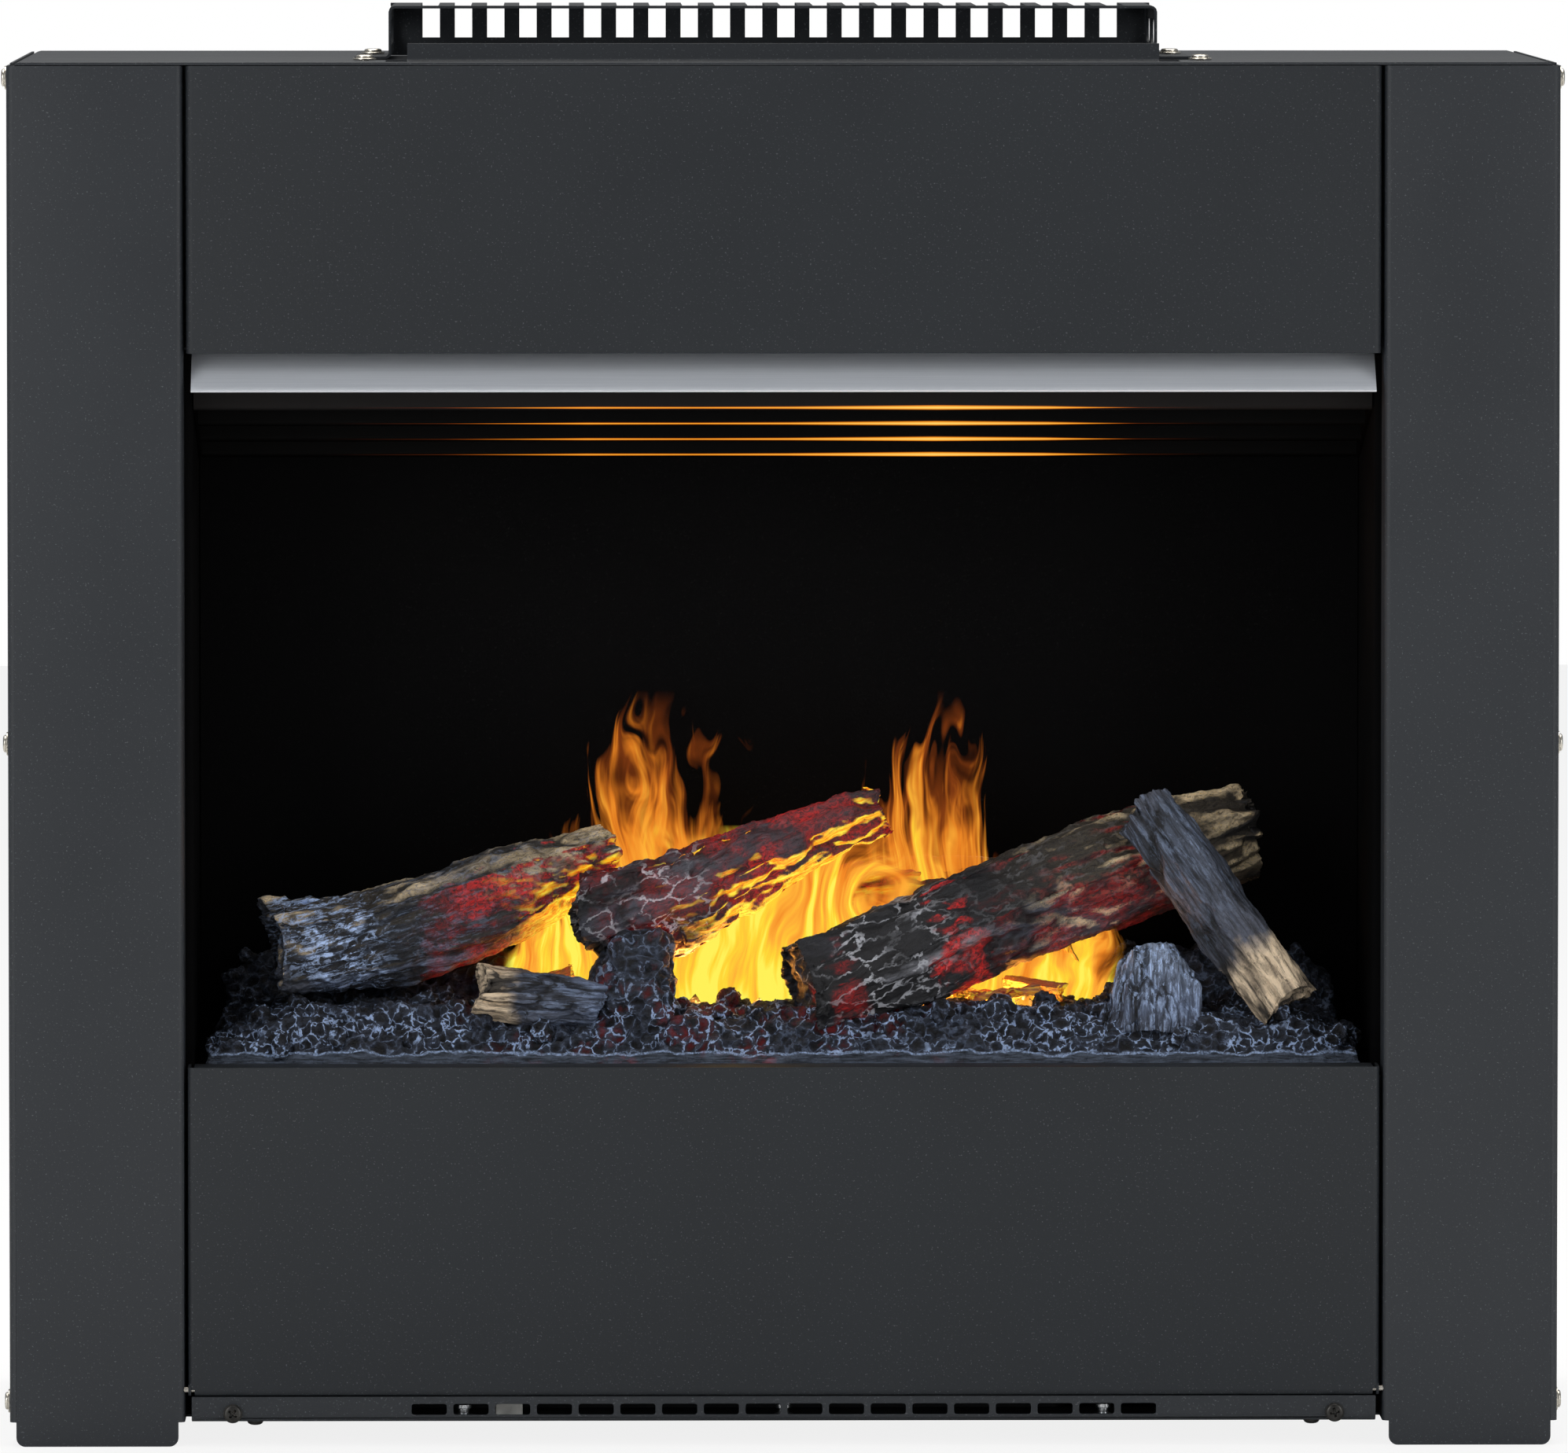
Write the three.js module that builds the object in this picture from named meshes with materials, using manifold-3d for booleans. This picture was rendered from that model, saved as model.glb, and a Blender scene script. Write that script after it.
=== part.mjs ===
// Built-in electric fireplace with a log bed: folded sheet-steel casing, open firebox with moulded
// logs over a water-mist unit, and a fan heater above the firebox behind a stepped outlet louvre.
// Millimetres. X runs across the front, Y is the depth behind the front face, Z is up from the hearth.
import * as THREE from "three";
import { mergeVertices } from "three/addons/utils/BufferGeometryUtils.js";
import Module from "manifold-3d";

const wasm = await Module();
wasm.setup();

// ---- Sheet metal and clearances ----
const SHEET = 1.2;
const BEND = 1.6;
const BEND_STEPS = 3;
const SEAT = 0.3;
const REVEAL = 1.5;

// ---- Casing ----
const CASE_WIDTH = 686;
const CASE_HEIGHT = 613;
const CASE_DEPTH = 302;
const COLUMN_WIDTH = 77.6;
const COLUMN_RETURN = 34;
const REVEAL_DEPTH = 24;
const FOOT_HEIGHT = 10.8;
const FOOT_INSET = 2.9;
const FOOT_RADIUS = 4;
const REAR_FOOT = 26;
const SIDE_FLANGE = 18;
const SIDE_SETBACK = 4;
const STRIP_HEIGHT = 11.5;
const STRIP_INSET = 2.9;
const TRAY_UPSTAND = 18;
const VENT_COUNT = 18;
const VENT_PITCH = 18.5;
const VENT_LENGTH = 15.5;
const VENT_HEIGHT = 4.7;
const VENT_RISE = 3.1;
const FLAP_HEIGHT = 146;
const FLAP_FLANGE = 22;
const TOP_PANEL_HEIGHT = 127;
const PANEL_FLANGE = 13;
const PANEL_SHELF = 32;
const REAR_VENT_COUNT = 10;
const REAR_VENT_PITCH = 20;
const REAR_VENT_LENGTH = 56;
const REAR_VENT_WIDTH = 7;
const REAR_VENT_Z = 70;

// ---- Air intake, its front lip and the guard over it ----
const NOTCH_WIDTH = 352;
const NOTCH_FRONT = 15;
const INTAKE_WIDTH = 324;
const INTAKE_FRONT = 58;
const INTAKE_REAR = 156;
const LIP_WIDTH = 332.6;
const LIP_HEIGHT = 8;
const LIP_Y = 20;
const GUARD_WIDTH = 342;
const GUARD_OFFSET = -4;
const GUARD_FRONT = 62;
const GUARD_DEPTH = 104;
const GUARD_HEIGHT = 24;
const GUARD_FOOT = 15;
const GUARD_SLOTS = 22;
const GUARD_PITCH = 14.55;
const GUARD_SLOT = 7.8;
const GUARD_MARGIN = 8;
const GUARD_END_SLOT = 38;
const GUARD_END_SLOT_HEIGHT = 11.5;

// ---- Firebox and the parts round its mouth ----
const FIREBOX_INSET = 3.9;
const FIREBOX_DEPTH = 145;
const FIREBOX_FLANGE = 12;
const DECK_DROP = 5.1;
const DECK_FRONT = 26;
const DECK_REAR = 160;
const DECK_LIP = 16;
const DECK_OPENING_MARGIN = 2;
const SHELF_FRONT = 44;
const SHELF_REAR = 200;
const BRIDGE_FLANGE = 14;
const TRIM_SHEET = 1;
const TRIM_RUN = 22;
const TRIM_FALL = 16;
const TRIM_TAIL = 18;
const TRIM_END_GAP = 2;
const LOUVRE_STEPS = 4;
const LOUVRE_FRONT = 25;
const LOUVRE_PITCH = 37;
const LOUVRE_DROP = 8.5;
const LOUVRE_RISER = 9;
const LOUVRE_TREAD = 22;
const LOUVRE_BAND = 24.5;

// ---- Fuel bed and logs ----
const BED_FRONT = 27;
const BED_DEPTH = 115;
const BED_END_GAP = 5;
const BED_TAPER = 13;
const BED_SKIRT = 11;
const BED_RISE = 14;
const BED_BANK = 19;
const BED_LUMP = 1.6;
const BED_FRONT_SLOPE = 22;
const BED_END_SLOPE = 34;
const BED_WALL = 8;
const BED_RECESS = 8;
const MIST_SLOT = [-86, 116, 74, 94];

// ---- Mist unit ----
const MOULD = 2.5;
const SUMP_LEFT = -206;
const SUMP_RIGHT = 126;
const SUMP_FRONT = 46;
const SUMP_REAR = 124;
const SUMP_HEIGHT = 47.7;
const SUMP_DIVIDER = [-93.5, -89];
const DUCT_FLANGE = 2;
const DUCT_FOOT = [-84, 122, 60, 110];
const TANK_HEIGHT = 90;
const TANK_RADIUS = 10;
const NECK_RADIUS = 17;
const NECK_LENGTH = 20;
const CAP_HEIGHT = 15;
const CAP_WALL = 3.4;
const TANK_GRIP = [60, 26, 13];
const TAB_X = [-60, 96];
const TAB_SETBACK = 4;
const TAB_LENGTH = 15;
const TAB_WIDTH = 9;
const TAB_THICKNESS = 3;
const TAB_SHAFT = 2.5;
const TAB_SHAFT_LENGTH = 9;
const LUG_RADIUS = 6;
const LUG_HEIGHT = 12;
const TRANSDUCER_X = 18;
const TRANSDUCER_RADIUS = 22;
const FAN_SIZE = 60;
const FAN_DEPTH = 20;
const FAN_HUB = 12;
const FAN_BLADES = 7;
const FAN_TIP_GAP = 2;
const FAN_PORT = 14;

const LAMP_HALF_LENGTH = 118;
const LAMP_HEIGHT = 11.5;
const LAMP_COUNT = 9;
const LAMP_PITCH = 26;

// ---- Heater ----
const DRUM_RADIUS = 30;
const DRUM_BLADES = 12;
const DRUM_GAP = 10;
const SHAFT_RADIUS = 3;
const DUCT_FRONT = 66;
const DUCT_MOUTH = 44.8;
const DUCT_WIDTH = 332;
const DRUM_Y = 118;
const DRUM_DROP = 61.8;
const DRUM_END_GAP = 16;
const MOTOR_RADIUS = 24;
const MOTOR_LENGTH = 36;
const MOUTH_END_GAP = 18;
const MOUTH_FRONT = 78;
const MOUTH_REAR = 104;
const ELEMENT_HEIGHT = 14;
const ELEMENT_RIM = 6;
const ELEMENT_FINS = 11;

// ---- Controls ----
const ROCKER_COUNT = 3;
const ROCKER_PITCH = 30;
const ROCKER_MARGIN = 31.9;
const ROCKER_DROP = 33.2;
const ROCKER_WIDTH = 14;
const ROCKER_HALF_HEIGHT = 9.8;
const ROCKER_DEPTH = 9;
const ROCKER_TILT = 7;
const ROCKER_Y = 40;
const SWITCH_FRONT = 34;
const SWITCH_MARGIN = 20;
const SWITCH_HEIGHT = 64;
const CONTROL_BOX_WIDTH = 104;
const CONTROL_BOX_DEPTH = 96;
const CONTROL_BOX_SETBACK = 86;
const CONTROL_BOX_GAP = 15;
const CONTROL_HEIGHT = 72;
const GLAND_SETBACK = 78;
const GLAND_Z = 60;
const GLAND_BORE = 4.5;
const GLAND_BODY = 8;
const GLAND_PROUD = 9;

// ---- Fasteners ----
const SCREW_RADIUS = 1.9;
const SCREW_HEAD = 3.9;
const SCREW_HEAD_HEIGHT = 1.6;
const WASHER_RADIUS = 5.2;
const WASHER = 0.8;
const SCREW_LENGTH = 5;
const SIDE_SCREW_Y = 17;
const SIDE_SCREW_MARGINS = [8, 5.5];
const BASE_SCREW_MARGIN = 18.2;
const BASE_SCREW_RISE = 3.7;
const BASE_WASHER_RADIUS = 4.2;
const TOP_SCREW_MARGIN = 9.5;
const TOP_SCREW_Y = 45;
const PIN_LENGTH = 17;

// ---- Planes that several pieces share ----
const halfWidth = CASE_WIDTH / 2;
const columnInner = halfWidth - COLUMN_WIDTH;
const panelHalf = columnInner - REVEAL;
const fireboxHalf = columnInner - FIREBOX_INSET;
const sideOuter = halfWidth - SHEET - SEAT;
const sideInner = sideOuter - SHEET;
const pocketHalf = sideInner - SEAT;
const topUnder = CASE_HEIGHT - SHEET;
const panelTop = topUnder - SEAT;
const panelBottom = panelTop - TOP_PANEL_HEIGHT;
const backInner = CASE_DEPTH - SHEET;
const trayTop = FOOT_HEIGHT + SHEET;
const flapBottom = FOOT_HEIGHT + STRIP_HEIGHT;
const flapTop = flapBottom + FLAP_HEIGHT;
const deckTop = flapTop - DECK_DROP;
const bedBase = deckTop + SEAT;
const bedHalf = fireboxHalf - BED_END_GAP;
const shelfTop = panelBottom + SHEET;
const corner = BEND + SHEET;
const trayFloor = trayTop + SEAT;
const sumpTop = trayFloor + SUMP_HEIGHT;
const guardBase = CASE_HEIGHT + SEAT;
const guardTop = CASE_HEIGHT + GUARD_HEIGHT;
const guardLeft = GUARD_OFFSET - GUARD_WIDTH / 2;
const guardRight = GUARD_OFFSET + GUARD_WIDTH / 2;
const guardRear = GUARD_FRONT + GUARD_DEPTH;
const trimUnder = panelBottom - SEAT - TRIM_SHEET - SEAT;
const drumZ = topUnder - DRUM_DROP;
const drumLength = DUCT_WIDTH - 2 * DRUM_END_GAP;
const heaterMouth = [MOUTH_END_GAP - DUCT_WIDTH / 2, DUCT_WIDTH / 2 - MOUTH_END_GAP, MOUTH_FRONT, MOUTH_REAR];
const rockerZ = deckTop - ROCKER_DROP;
const glandX = pocketHalf - GLAND_SETBACK;
const screwProud = SEAT + WASHER + SCREW_HEAD_HEIGHT;
const frontmost = SHEET + SEAT - screwProud;
const rearmost = CASE_DEPTH + GLAND_PROUD;

// ---- Solid helpers ----
// A closed three.js geometry as a solid that can be joined and cut.
function solid(geometry) {
  const loose = geometry.index ? geometry.toNonIndexed() : geometry;
  const bare = new THREE.BufferGeometry();
  bare.setAttribute("position", loose.getAttribute("position"));
  const merged = mergeVertices(bare, 1e-4);
  return new wasm.Manifold(
    new wasm.Mesh({
      numProp: 3,
      vertProperties: merged.getAttribute("position").array,
      triVerts: new Uint32Array(merged.index.array),
    }),
  );
}

function geometryOf(body) {
  const mesh = body.getMesh();
  const geometry = new THREE.BufferGeometry();
  geometry.setAttribute("position", new THREE.BufferAttribute(mesh.vertProperties, 3));
  geometry.setIndex(new THREE.BufferAttribute(mesh.triVerts, 1));
  geometry.computeVertexNormals();
  return geometry;
}

function join(bodies) {
  return bodies.reduce((whole, body) => whole.add(body));
}

function cut(body, tools) {
  return tools.reduce((rest, tool) => rest.subtract(tool), body);
}

function block(x0, x1, y0, y1, z0, z1) {
  const box = new THREE.BoxGeometry(x1 - x0, y1 - y0, z1 - z0);
  return solid(box.translate((x0 + x1) / 2, (y0 + y1) / 2, (z0 + z1) / 2));
}

// A round bar between two points.
function rod(from, to, radius, sides = 16) {
  const start = new THREE.Vector3(...from);
  const end = new THREE.Vector3(...to);
  const axis = end.clone().sub(start);
  const bar = new THREE.CylinderGeometry(radius, radius, axis.length(), sides);
  const turn = new THREE.Quaternion();
  turn.setFromUnitVectors(new THREE.Vector3(0, 1, 0), axis.normalize());
  const middle = start.add(end).multiplyScalar(0.5);
  return solid(bar.applyQuaternion(turn).translate(middle.x, middle.y, middle.z));
}

function shapeOf(points) {
  return new THREE.Shape(points.map(([u, v]) => new THREE.Vector2(u, v)));
}

function prism(shape, length, curveSegments) {
  return new THREE.ExtrudeGeometry(shape, { depth: length, bevelEnabled: false, curveSegments });
}

// Profiles are drawn in the plane square to the direction they are extruded in.
function alongX(shape, x0, x1, curveSegments = 4) {
  const turn = new THREE.Matrix4().makeBasis(
    new THREE.Vector3(0, 1, 0),
    new THREE.Vector3(0, 0, 1),
    new THREE.Vector3(1, 0, 0),
  );
  return solid(prism(shape, x1 - x0, curveSegments).applyMatrix4(turn).translate(x0, 0, 0));
}

function alongY(shape, y0, y1, curveSegments = 4) {
  return solid(prism(shape, y1 - y0, curveSegments).rotateX(Math.PI / 2).translate(0, y1, 0));
}

function alongZ(shape, z0, z1, curveSegments = 4) {
  return solid(prism(shape, z1 - z0, curveSegments).translate(0, 0, z0));
}

function roundedRect(x0, x1, y0, y1, radius) {
  const shape = new THREE.Shape();
  shape.moveTo(x0 + radius, y0);
  shape.lineTo(x1 - radius, y0);
  shape.absarc(x1 - radius, y0 + radius, radius, -Math.PI / 2, 0);
  shape.lineTo(x1, y1 - radius);
  shape.absarc(x1 - radius, y1 - radius, radius, 0, Math.PI / 2);
  shape.lineTo(x0 + radius, y1);
  shape.absarc(x0 + radius, y1 - radius, radius, Math.PI / 2, Math.PI);
  shape.lineTo(x0, y0 + radius);
  shape.absarc(x0 + radius, y0 + radius, radius, Math.PI, 1.5 * Math.PI);
  return shape;
}

// Outline of a sheet folded along a path. The path is one face of the sheet. The other face lies
// to its left, or to its right where the thickness is negative. Bends have the same inside radius.
function folded(path, thickness = SHEET, bend = BEND) {
  const gauge = Math.abs(thickness);
  const points = path.map(([u, v]) => new THREE.Vector2(u, v));
  const near = [];
  const far = [];
  const heading = (i) => points[i + 1].clone().sub(points[i]).normalize();
  const across = (d) => new THREE.Vector2(-d.y, d.x).multiplyScalar(Math.sign(thickness));
  points.forEach((point, i) => {
    const last = i === points.length - 1;
    if (i === 0 || last) {
      const normal = across(heading(last ? i - 1 : i));
      near.push(point.clone());
      far.push(point.clone().addScaledVector(normal, gauge));
      return;
    }
    const before = heading(i - 1);
    const normal = across(before);
    const angle = Math.atan2(before.cross(heading(i)), before.dot(heading(i)));
    const towards = angle * thickness > 0 ? 1 : -1;
    const radius = towards > 0 ? bend + gauge : bend;
    const start = point.clone().addScaledVector(before, -radius * Math.tan(Math.abs(angle) / 2));
    const centre = start.clone().addScaledVector(normal, towards * radius);
    for (let k = 0; k <= BEND_STEPS; k++) {
      const arm = normal.clone().multiplyScalar(-towards);
      arm.rotateAround(new THREE.Vector2(), (angle * k) / BEND_STEPS);
      near.push(centre.clone().addScaledVector(arm, radius));
      far.push(centre.clone().addScaledVector(arm, radius - towards * gauge));
    }
  });
  return new THREE.Shape([...near, ...far.reverse()]);
}

// A skin over rings of equal point counts, closed at both ends by fans.
function loft(rings) {
  const count = rings[0].length;
  const positions = rings.flat().flatMap((p) => [p.x, p.y, p.z]);
  const index = [];
  for (let r = 0; r < rings.length - 1; r++) {
    for (let k = 0; k < count; k++) {
      const a = r * count + k;
      const b = r * count + ((k + 1) % count);
      index.push(a, b, a + count, b, b + count, a + count);
    }
  }
  [rings[0], rings[rings.length - 1]].forEach((ring, end) => {
    const centre = ring.reduce((sum, p) => sum.add(p), new THREE.Vector3()).divideScalar(count);
    const hub = positions.length / 3;
    positions.push(centre.x, centre.y, centre.z);
    const base = end * (rings.length - 1) * count;
    for (let k = 0; k < count; k++) {
      const a = base + k;
      const b = base + ((k + 1) % count);
      index.push(...(end ? [a, b, hub] : [b, a, hub]));
    }
  });
  const geometry = new THREE.BufferGeometry();
  geometry.setAttribute("position", new THREE.Float32BufferAttribute(positions, 3));
  geometry.setIndex(index);
  return solid(geometry);
}

// A four-sided hollow or core between a lower and an upper rectangle.
function taper([ax0, ax1, ay0, ay1], z0, [bx0, bx1, by0, by1], z1) {
  const ring = (x0, x1, y0, y1, z) => [
    new THREE.Vector3(x0, y0, z),
    new THREE.Vector3(x1, y0, z),
    new THREE.Vector3(x1, y1, z),
    new THREE.Vector3(x0, y1, z),
  ];
  return loft([ring(ax0, ax1, ay0, ay1, z0), ring(bx0, bx1, by0, by1, z1)]);
}

function inset([x0, x1, y0, y1], wall) {
  return [x0 + wall, x1 - wall, y0 + wall, y1 - wall];
}

// A turned piece with its axis on Y: the profile is (radius, height), outer wall upwards.
function turned(profile, sides = 16) {
  return new THREE.LatheGeometry(
    profile.map(([radius, height]) => new THREE.Vector2(radius, height)),
    sides,
  );
}

// ---- Materials ----
function material(color, roughness, metalness) {
  return new THREE.MeshStandardMaterial({ color, roughness, metalness });
}

const coat = material(0x323639, 0.55, 0.3);
const fireboxBlack = material(0x0a0a0b, 0.8, 0.1);
const galvanised = material(0x9da1a3, 0.42, 0.85);
const satinTrim = material(0x7d828a, 0.35, 0.9);
const nickel = material(0xb9b4a8, 0.3, 1);
const ember = material(0x26272a, 0.95, 0);
const charred = material(0x33363b, 0.92, 0);
const bark = material(0x5c4a33, 0.9, 0);
const blackPlastic = material(0x17181a, 0.5, 0);
const tankPlastic = material(0xa9b4ba, 0.25, 0);
const whitePlastic = material(0xd8d8d2, 0.5, 0);
const element = material(0x6b5f57, 0.6, 0.5);
const motorSteel = material(0x55585c, 0.45, 0.8);
const brass = material(0xb08d4a, 0.3, 1);

const insert = new THREE.Group();
insert.position.y = -(frontmost + rearmost) / 2;

function subassembly(name) {
  const group = new THREE.Group();
  group.name = name;
  insert.add(group);
  return group;
}

function place(group, name, body, finish) {
  const mesh = new THREE.Mesh(body.isBufferGeometry ? body : geometryOf(body), finish);
  mesh.name = name;
  group.add(mesh);
  return mesh;
}

// The same piece on both sides: drawn at the right and mirrored to the left.
function placePair(group, name, body, finish) {
  place(group, `${name}_right`, body, finish);
  place(group, `${name}_left`, body, finish).scale.x = -1;
}

// ---- Casing ----
const casing = subassembly("casing");
const sideScrewHeights = [
  FOOT_HEIGHT + SIDE_SCREW_MARGINS[0],
  (FOOT_HEIGHT + panelTop) / 2,
  panelTop - SIDE_SCREW_MARGINS[1],
];

function sideScrewHoles(side) {
  const from = side * (sideInner - 5);
  const to = side * (halfWidth + 1);
  const radius = SCREW_RADIUS + SEAT;
  return sideScrewHeights.map((z) => rod([from, SIDE_SCREW_Y, z], [to, SIDE_SCREW_Y, z], radius, 8));
}

const pinY = corner;
const pinZ = flapBottom + corner;
const pinRadius = BEND - SEAT;
const pinHole = rod([columnInner - 9, pinY, pinZ], [columnInner + 9, pinY, pinZ], pinRadius + SEAT, 12);

// Folded front column: outer return, rounded face, inner return, and a foot tab down to the hearth.
function column() {
  const profile = folded(
    [
      [halfWidth, COLUMN_RETURN],
      [halfWidth, 0],
      [columnInner, 0],
      [columnInner, REVEAL_DEPTH],
    ],
    -SHEET,
  );
  const x0 = columnInner + FOOT_INSET;
  const x1 = halfWidth - FOOT_INSET;
  const top = FOOT_HEIGHT + 2 * FOOT_RADIUS;
  const foot = cut(alongY(roundedRect(x0, x1, 0, top, FOOT_RADIUS), 0, SHEET), [
    block(x0 - 1, x1 + 1, -1, SHEET + 1, top - FOOT_RADIUS, top + 1),
  ]);
  return cut(join([alongZ(profile, FOOT_HEIGHT, panelTop), foot]), [...sideScrewHoles(1), pinHole]);
}

function casingSide() {
  const rear = backInner - SEAT;
  const profile = folded([
    [sideOuter - SIDE_FLANGE, SIDE_SETBACK],
    [sideOuter, SIDE_SETBACK],
    [sideOuter, rear],
    [sideOuter - SIDE_FLANGE, rear],
  ]);
  const headroom = block(0, sideInner, 0, CASE_DEPTH, panelTop, CASE_HEIGHT);
  return cut(alongZ(profile, FOOT_HEIGHT, CASE_HEIGHT - SEAT), [headroom, ...sideScrewHoles(1)]);
}

function rearVents() {
  return Array.from({ length: REAR_VENT_COUNT }, (_, i) => {
    const x = (i - (REAR_VENT_COUNT - 1) / 2) * REAR_VENT_PITCH;
    const half = REAR_VENT_WIDTH / 2;
    const slot = roundedRect(x - half, x + half, REAR_VENT_Z, REAR_VENT_Z + REAR_VENT_LENGTH, half - 0.1);
    return alongY(slot, backInner - 1, CASE_DEPTH + 1, 2);
  });
}

// Back panel with a foot flange on the hearth, a top flange, vents and the hole for the cable gland.
function casingBack() {
  const profile = folded([
    [CASE_DEPTH - REAR_FOOT, 0],
    [CASE_DEPTH, 0],
    [CASE_DEPTH, panelTop],
    [CASE_DEPTH - SIDE_FLANGE, panelTop],
  ]);
  const panel = alongX(profile, -sideOuter, sideOuter);
  const clear = sideOuter - SIDE_FLANGE - SEAT;
  const topCorners = [-1, 1].map((side) => {
    const [a, b] = [side * clear, side * (sideOuter + 1)].sort((p, q) => p - q);
    return block(a, b, 0, backInner, panelTop - corner, panelTop + 1);
  });
  const glandHole = rod(
    [glandX, backInner - 5, GLAND_Z],
    [glandX, CASE_DEPTH + 5, GLAND_Z],
    GLAND_BODY + SEAT,
  );
  return cut(panel, [...topCorners, ...rearVents(), glandHole]);
}

const topScrews = [
  [-NOTCH_WIDTH / 2 - TOP_SCREW_MARGIN, TOP_SCREW_Y],
  [NOTCH_WIDTH / 2 + TOP_SCREW_MARGIN, TOP_SCREW_Y],
];
const guardScrewY = (GUARD_FRONT + guardRear) / 2;
const guardScrews = [
  [guardLeft - GUARD_FOOT / 2, guardScrewY],
  [guardRight + GUARD_FOOT / 2, guardScrewY],
];

function screwHoles(places, z0, z1) {
  return places.map(([x, y]) => rod([x, y, z0], [x, y, z1], SCREW_RADIUS + SEAT, 8));
}

// Top plate: flanges folded down inside the casing sides, the stepped air intake, and the lip
// folded up along the intake's front edge.
function casingTop() {
  const flangeEnd = topUnder - SIDE_FLANGE;
  const profile = folded(
    [
      [-pocketHalf, flangeEnd],
      [-pocketHalf, CASE_HEIGHT],
      [pocketHalf, CASE_HEIGHT],
      [pocketHalf, flangeEnd],
    ],
    -SHEET,
  );
  const relief = SIDE_SETBACK + corner + SEAT;
  const underside = topUnder - SEAT;
  const below = [
    block(-halfWidth, halfWidth, -1, relief, flangeEnd - 1, topUnder),
    block(-halfWidth, halfWidth, backInner - relief, CASE_DEPTH + 1, flangeEnd - 1, topUnder),
  ];
  const holes = [
    block(-NOTCH_WIDTH / 2, NOTCH_WIDTH / 2, NOTCH_FRONT, INTAKE_FRONT, underside, CASE_HEIGHT + 1),
    block(-INTAKE_WIDTH / 2, INTAKE_WIDTH / 2, INTAKE_FRONT - 1, INTAKE_REAR, underside, CASE_HEIGHT + 1),
  ];
  const lip = folded(
    [
      [NOTCH_FRONT - corner, CASE_HEIGHT],
      [LIP_Y, CASE_HEIGHT],
      [LIP_Y, CASE_HEIGHT + LIP_HEIGHT],
    ],
    -SHEET,
  );
  const plate = cut(alongY(profile, 0, CASE_DEPTH), [...below, ...holes]);
  const screws = screwHoles([...topScrews, ...guardScrews], topUnder - 1, CASE_HEIGHT + 1);
  const body = join([plate, alongX(lip, -LIP_WIDTH / 2, LIP_WIDTH / 2)]);
  return cut(body, [...screws, ...sideScrewHoles(-1), ...sideScrewHoles(1)]);
}

const stripHalf = columnInner - STRIP_INSET;
const baseScrewX = stripHalf - BASE_SCREW_MARGIN;
const baseScrewZ = FOOT_HEIGHT + BASE_SCREW_RISE;

// Base tray: its front upstand is the slotted strip under the flap.
function baseTray() {
  const front = SHEET + SEAT;
  const rear = backInner - SEAT - corner - SEAT;
  const profile = folded([
    [front, flapBottom - SEAT],
    [front, FOOT_HEIGHT],
    [rear, FOOT_HEIGHT],
    [rear, FOOT_HEIGHT + TRAY_UPSTAND],
  ]);
  const vents = Array.from({ length: VENT_COUNT }, (_, i) => {
    const x = (i - (VENT_COUNT - 1) / 2) * VENT_PITCH;
    const z = FOOT_HEIGHT + VENT_RISE;
    const slot = roundedRect(x - VENT_LENGTH / 2, x + VENT_LENGTH / 2, z, z + VENT_HEIGHT, 1);
    return alongY(slot, 0, front + corner, 1);
  });
  const upstands = [-1, 1].map((side) => {
    const [a, b] = [side * (pocketHalf - SHEET), side * pocketHalf].sort((p, q) => p - q);
    return block(a, b, COLUMN_RETURN, rear - SIDE_FLANGE, FOOT_HEIGHT, FOOT_HEIGHT + TRAY_UPSTAND);
  });
  const corners = [-1, 1].map((side) => {
    const [a, b] = [side * stripHalf, side * (pocketHalf + 1)].sort((p, q) => p - q);
    return block(a, b, 0, REVEAL_DEPTH + SEAT, 0, flapBottom + 1);
  });
  const holes = [-1, 1].map((side) => {
    const x = side * baseScrewX;
    return rod([x, 0, baseScrewZ], [x, front + corner, baseScrewZ], SCREW_RADIUS + SEAT, 8);
  });
  const pan = cut(alongX(profile, -pocketHalf, pocketHalf), [...corners, ...vents, ...holes]);
  return join([pan, ...upstands]);
}

// A front panel folded back on four sides, deepest at its lower edge. The upright folds stop short
// of that edge by the relief, so that the lower fold keeps its round edge.
function pan(half, z0, z1, depth, shelf, relief) {
  const plan = folded(
    [
      [half, depth],
      [half, 0],
      [-half, 0],
      [-half, depth],
    ],
    -SHEET,
  );
  const section = folded(
    [
      [shelf, z0],
      [0, z0],
      [0, z1],
      [depth, z1],
    ],
    -SHEET,
  );
  return join([alongZ(plan, z0 + relief, z1), alongX(section, corner - half, half - corner)]);
}

// Drop-down flap: a pan with a hat-section stiffener and hinge ears that stand inside its lower fold.
function accessFlap() {
  const hatHalf = panelHalf - COLUMN_WIDTH;
  const middle = (flapBottom + flapTop) / 2;
  const crown = 14;
  const foot = 22;
  const rise = FLAP_FLANGE - 6;
  const hat = folded(
    [
      [SHEET / 2, middle - foot],
      [SHEET / 2, middle - crown],
      [rise, middle - crown],
      [rise, middle + crown],
      [SHEET / 2, middle + crown],
      [SHEET / 2, middle + foot],
    ],
    -SHEET,
  );
  const ears = [-1, 1].map((side) => {
    const ends = [side * (panelHalf - SHEET), side * panelHalf];
    return rod([ends[0], pinY, pinZ], [ends[1], pinY, pinZ], corner, 24);
  });
  const bores = [-1, 1].map((side) => {
    const ends = [side * (panelHalf - 3 * SHEET), side * (panelHalf + 1)];
    return rod([ends[0], pinY, pinZ], [ends[1], pinY, pinZ], pinRadius + SEAT, 12);
  });
  const shell = pan(panelHalf, flapBottom, flapTop, FLAP_FLANGE, FLAP_FLANGE, corner);
  return cut(join([shell, alongX(hat, -hatHalf, hatHalf), ...ears]), bores);
}

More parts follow.
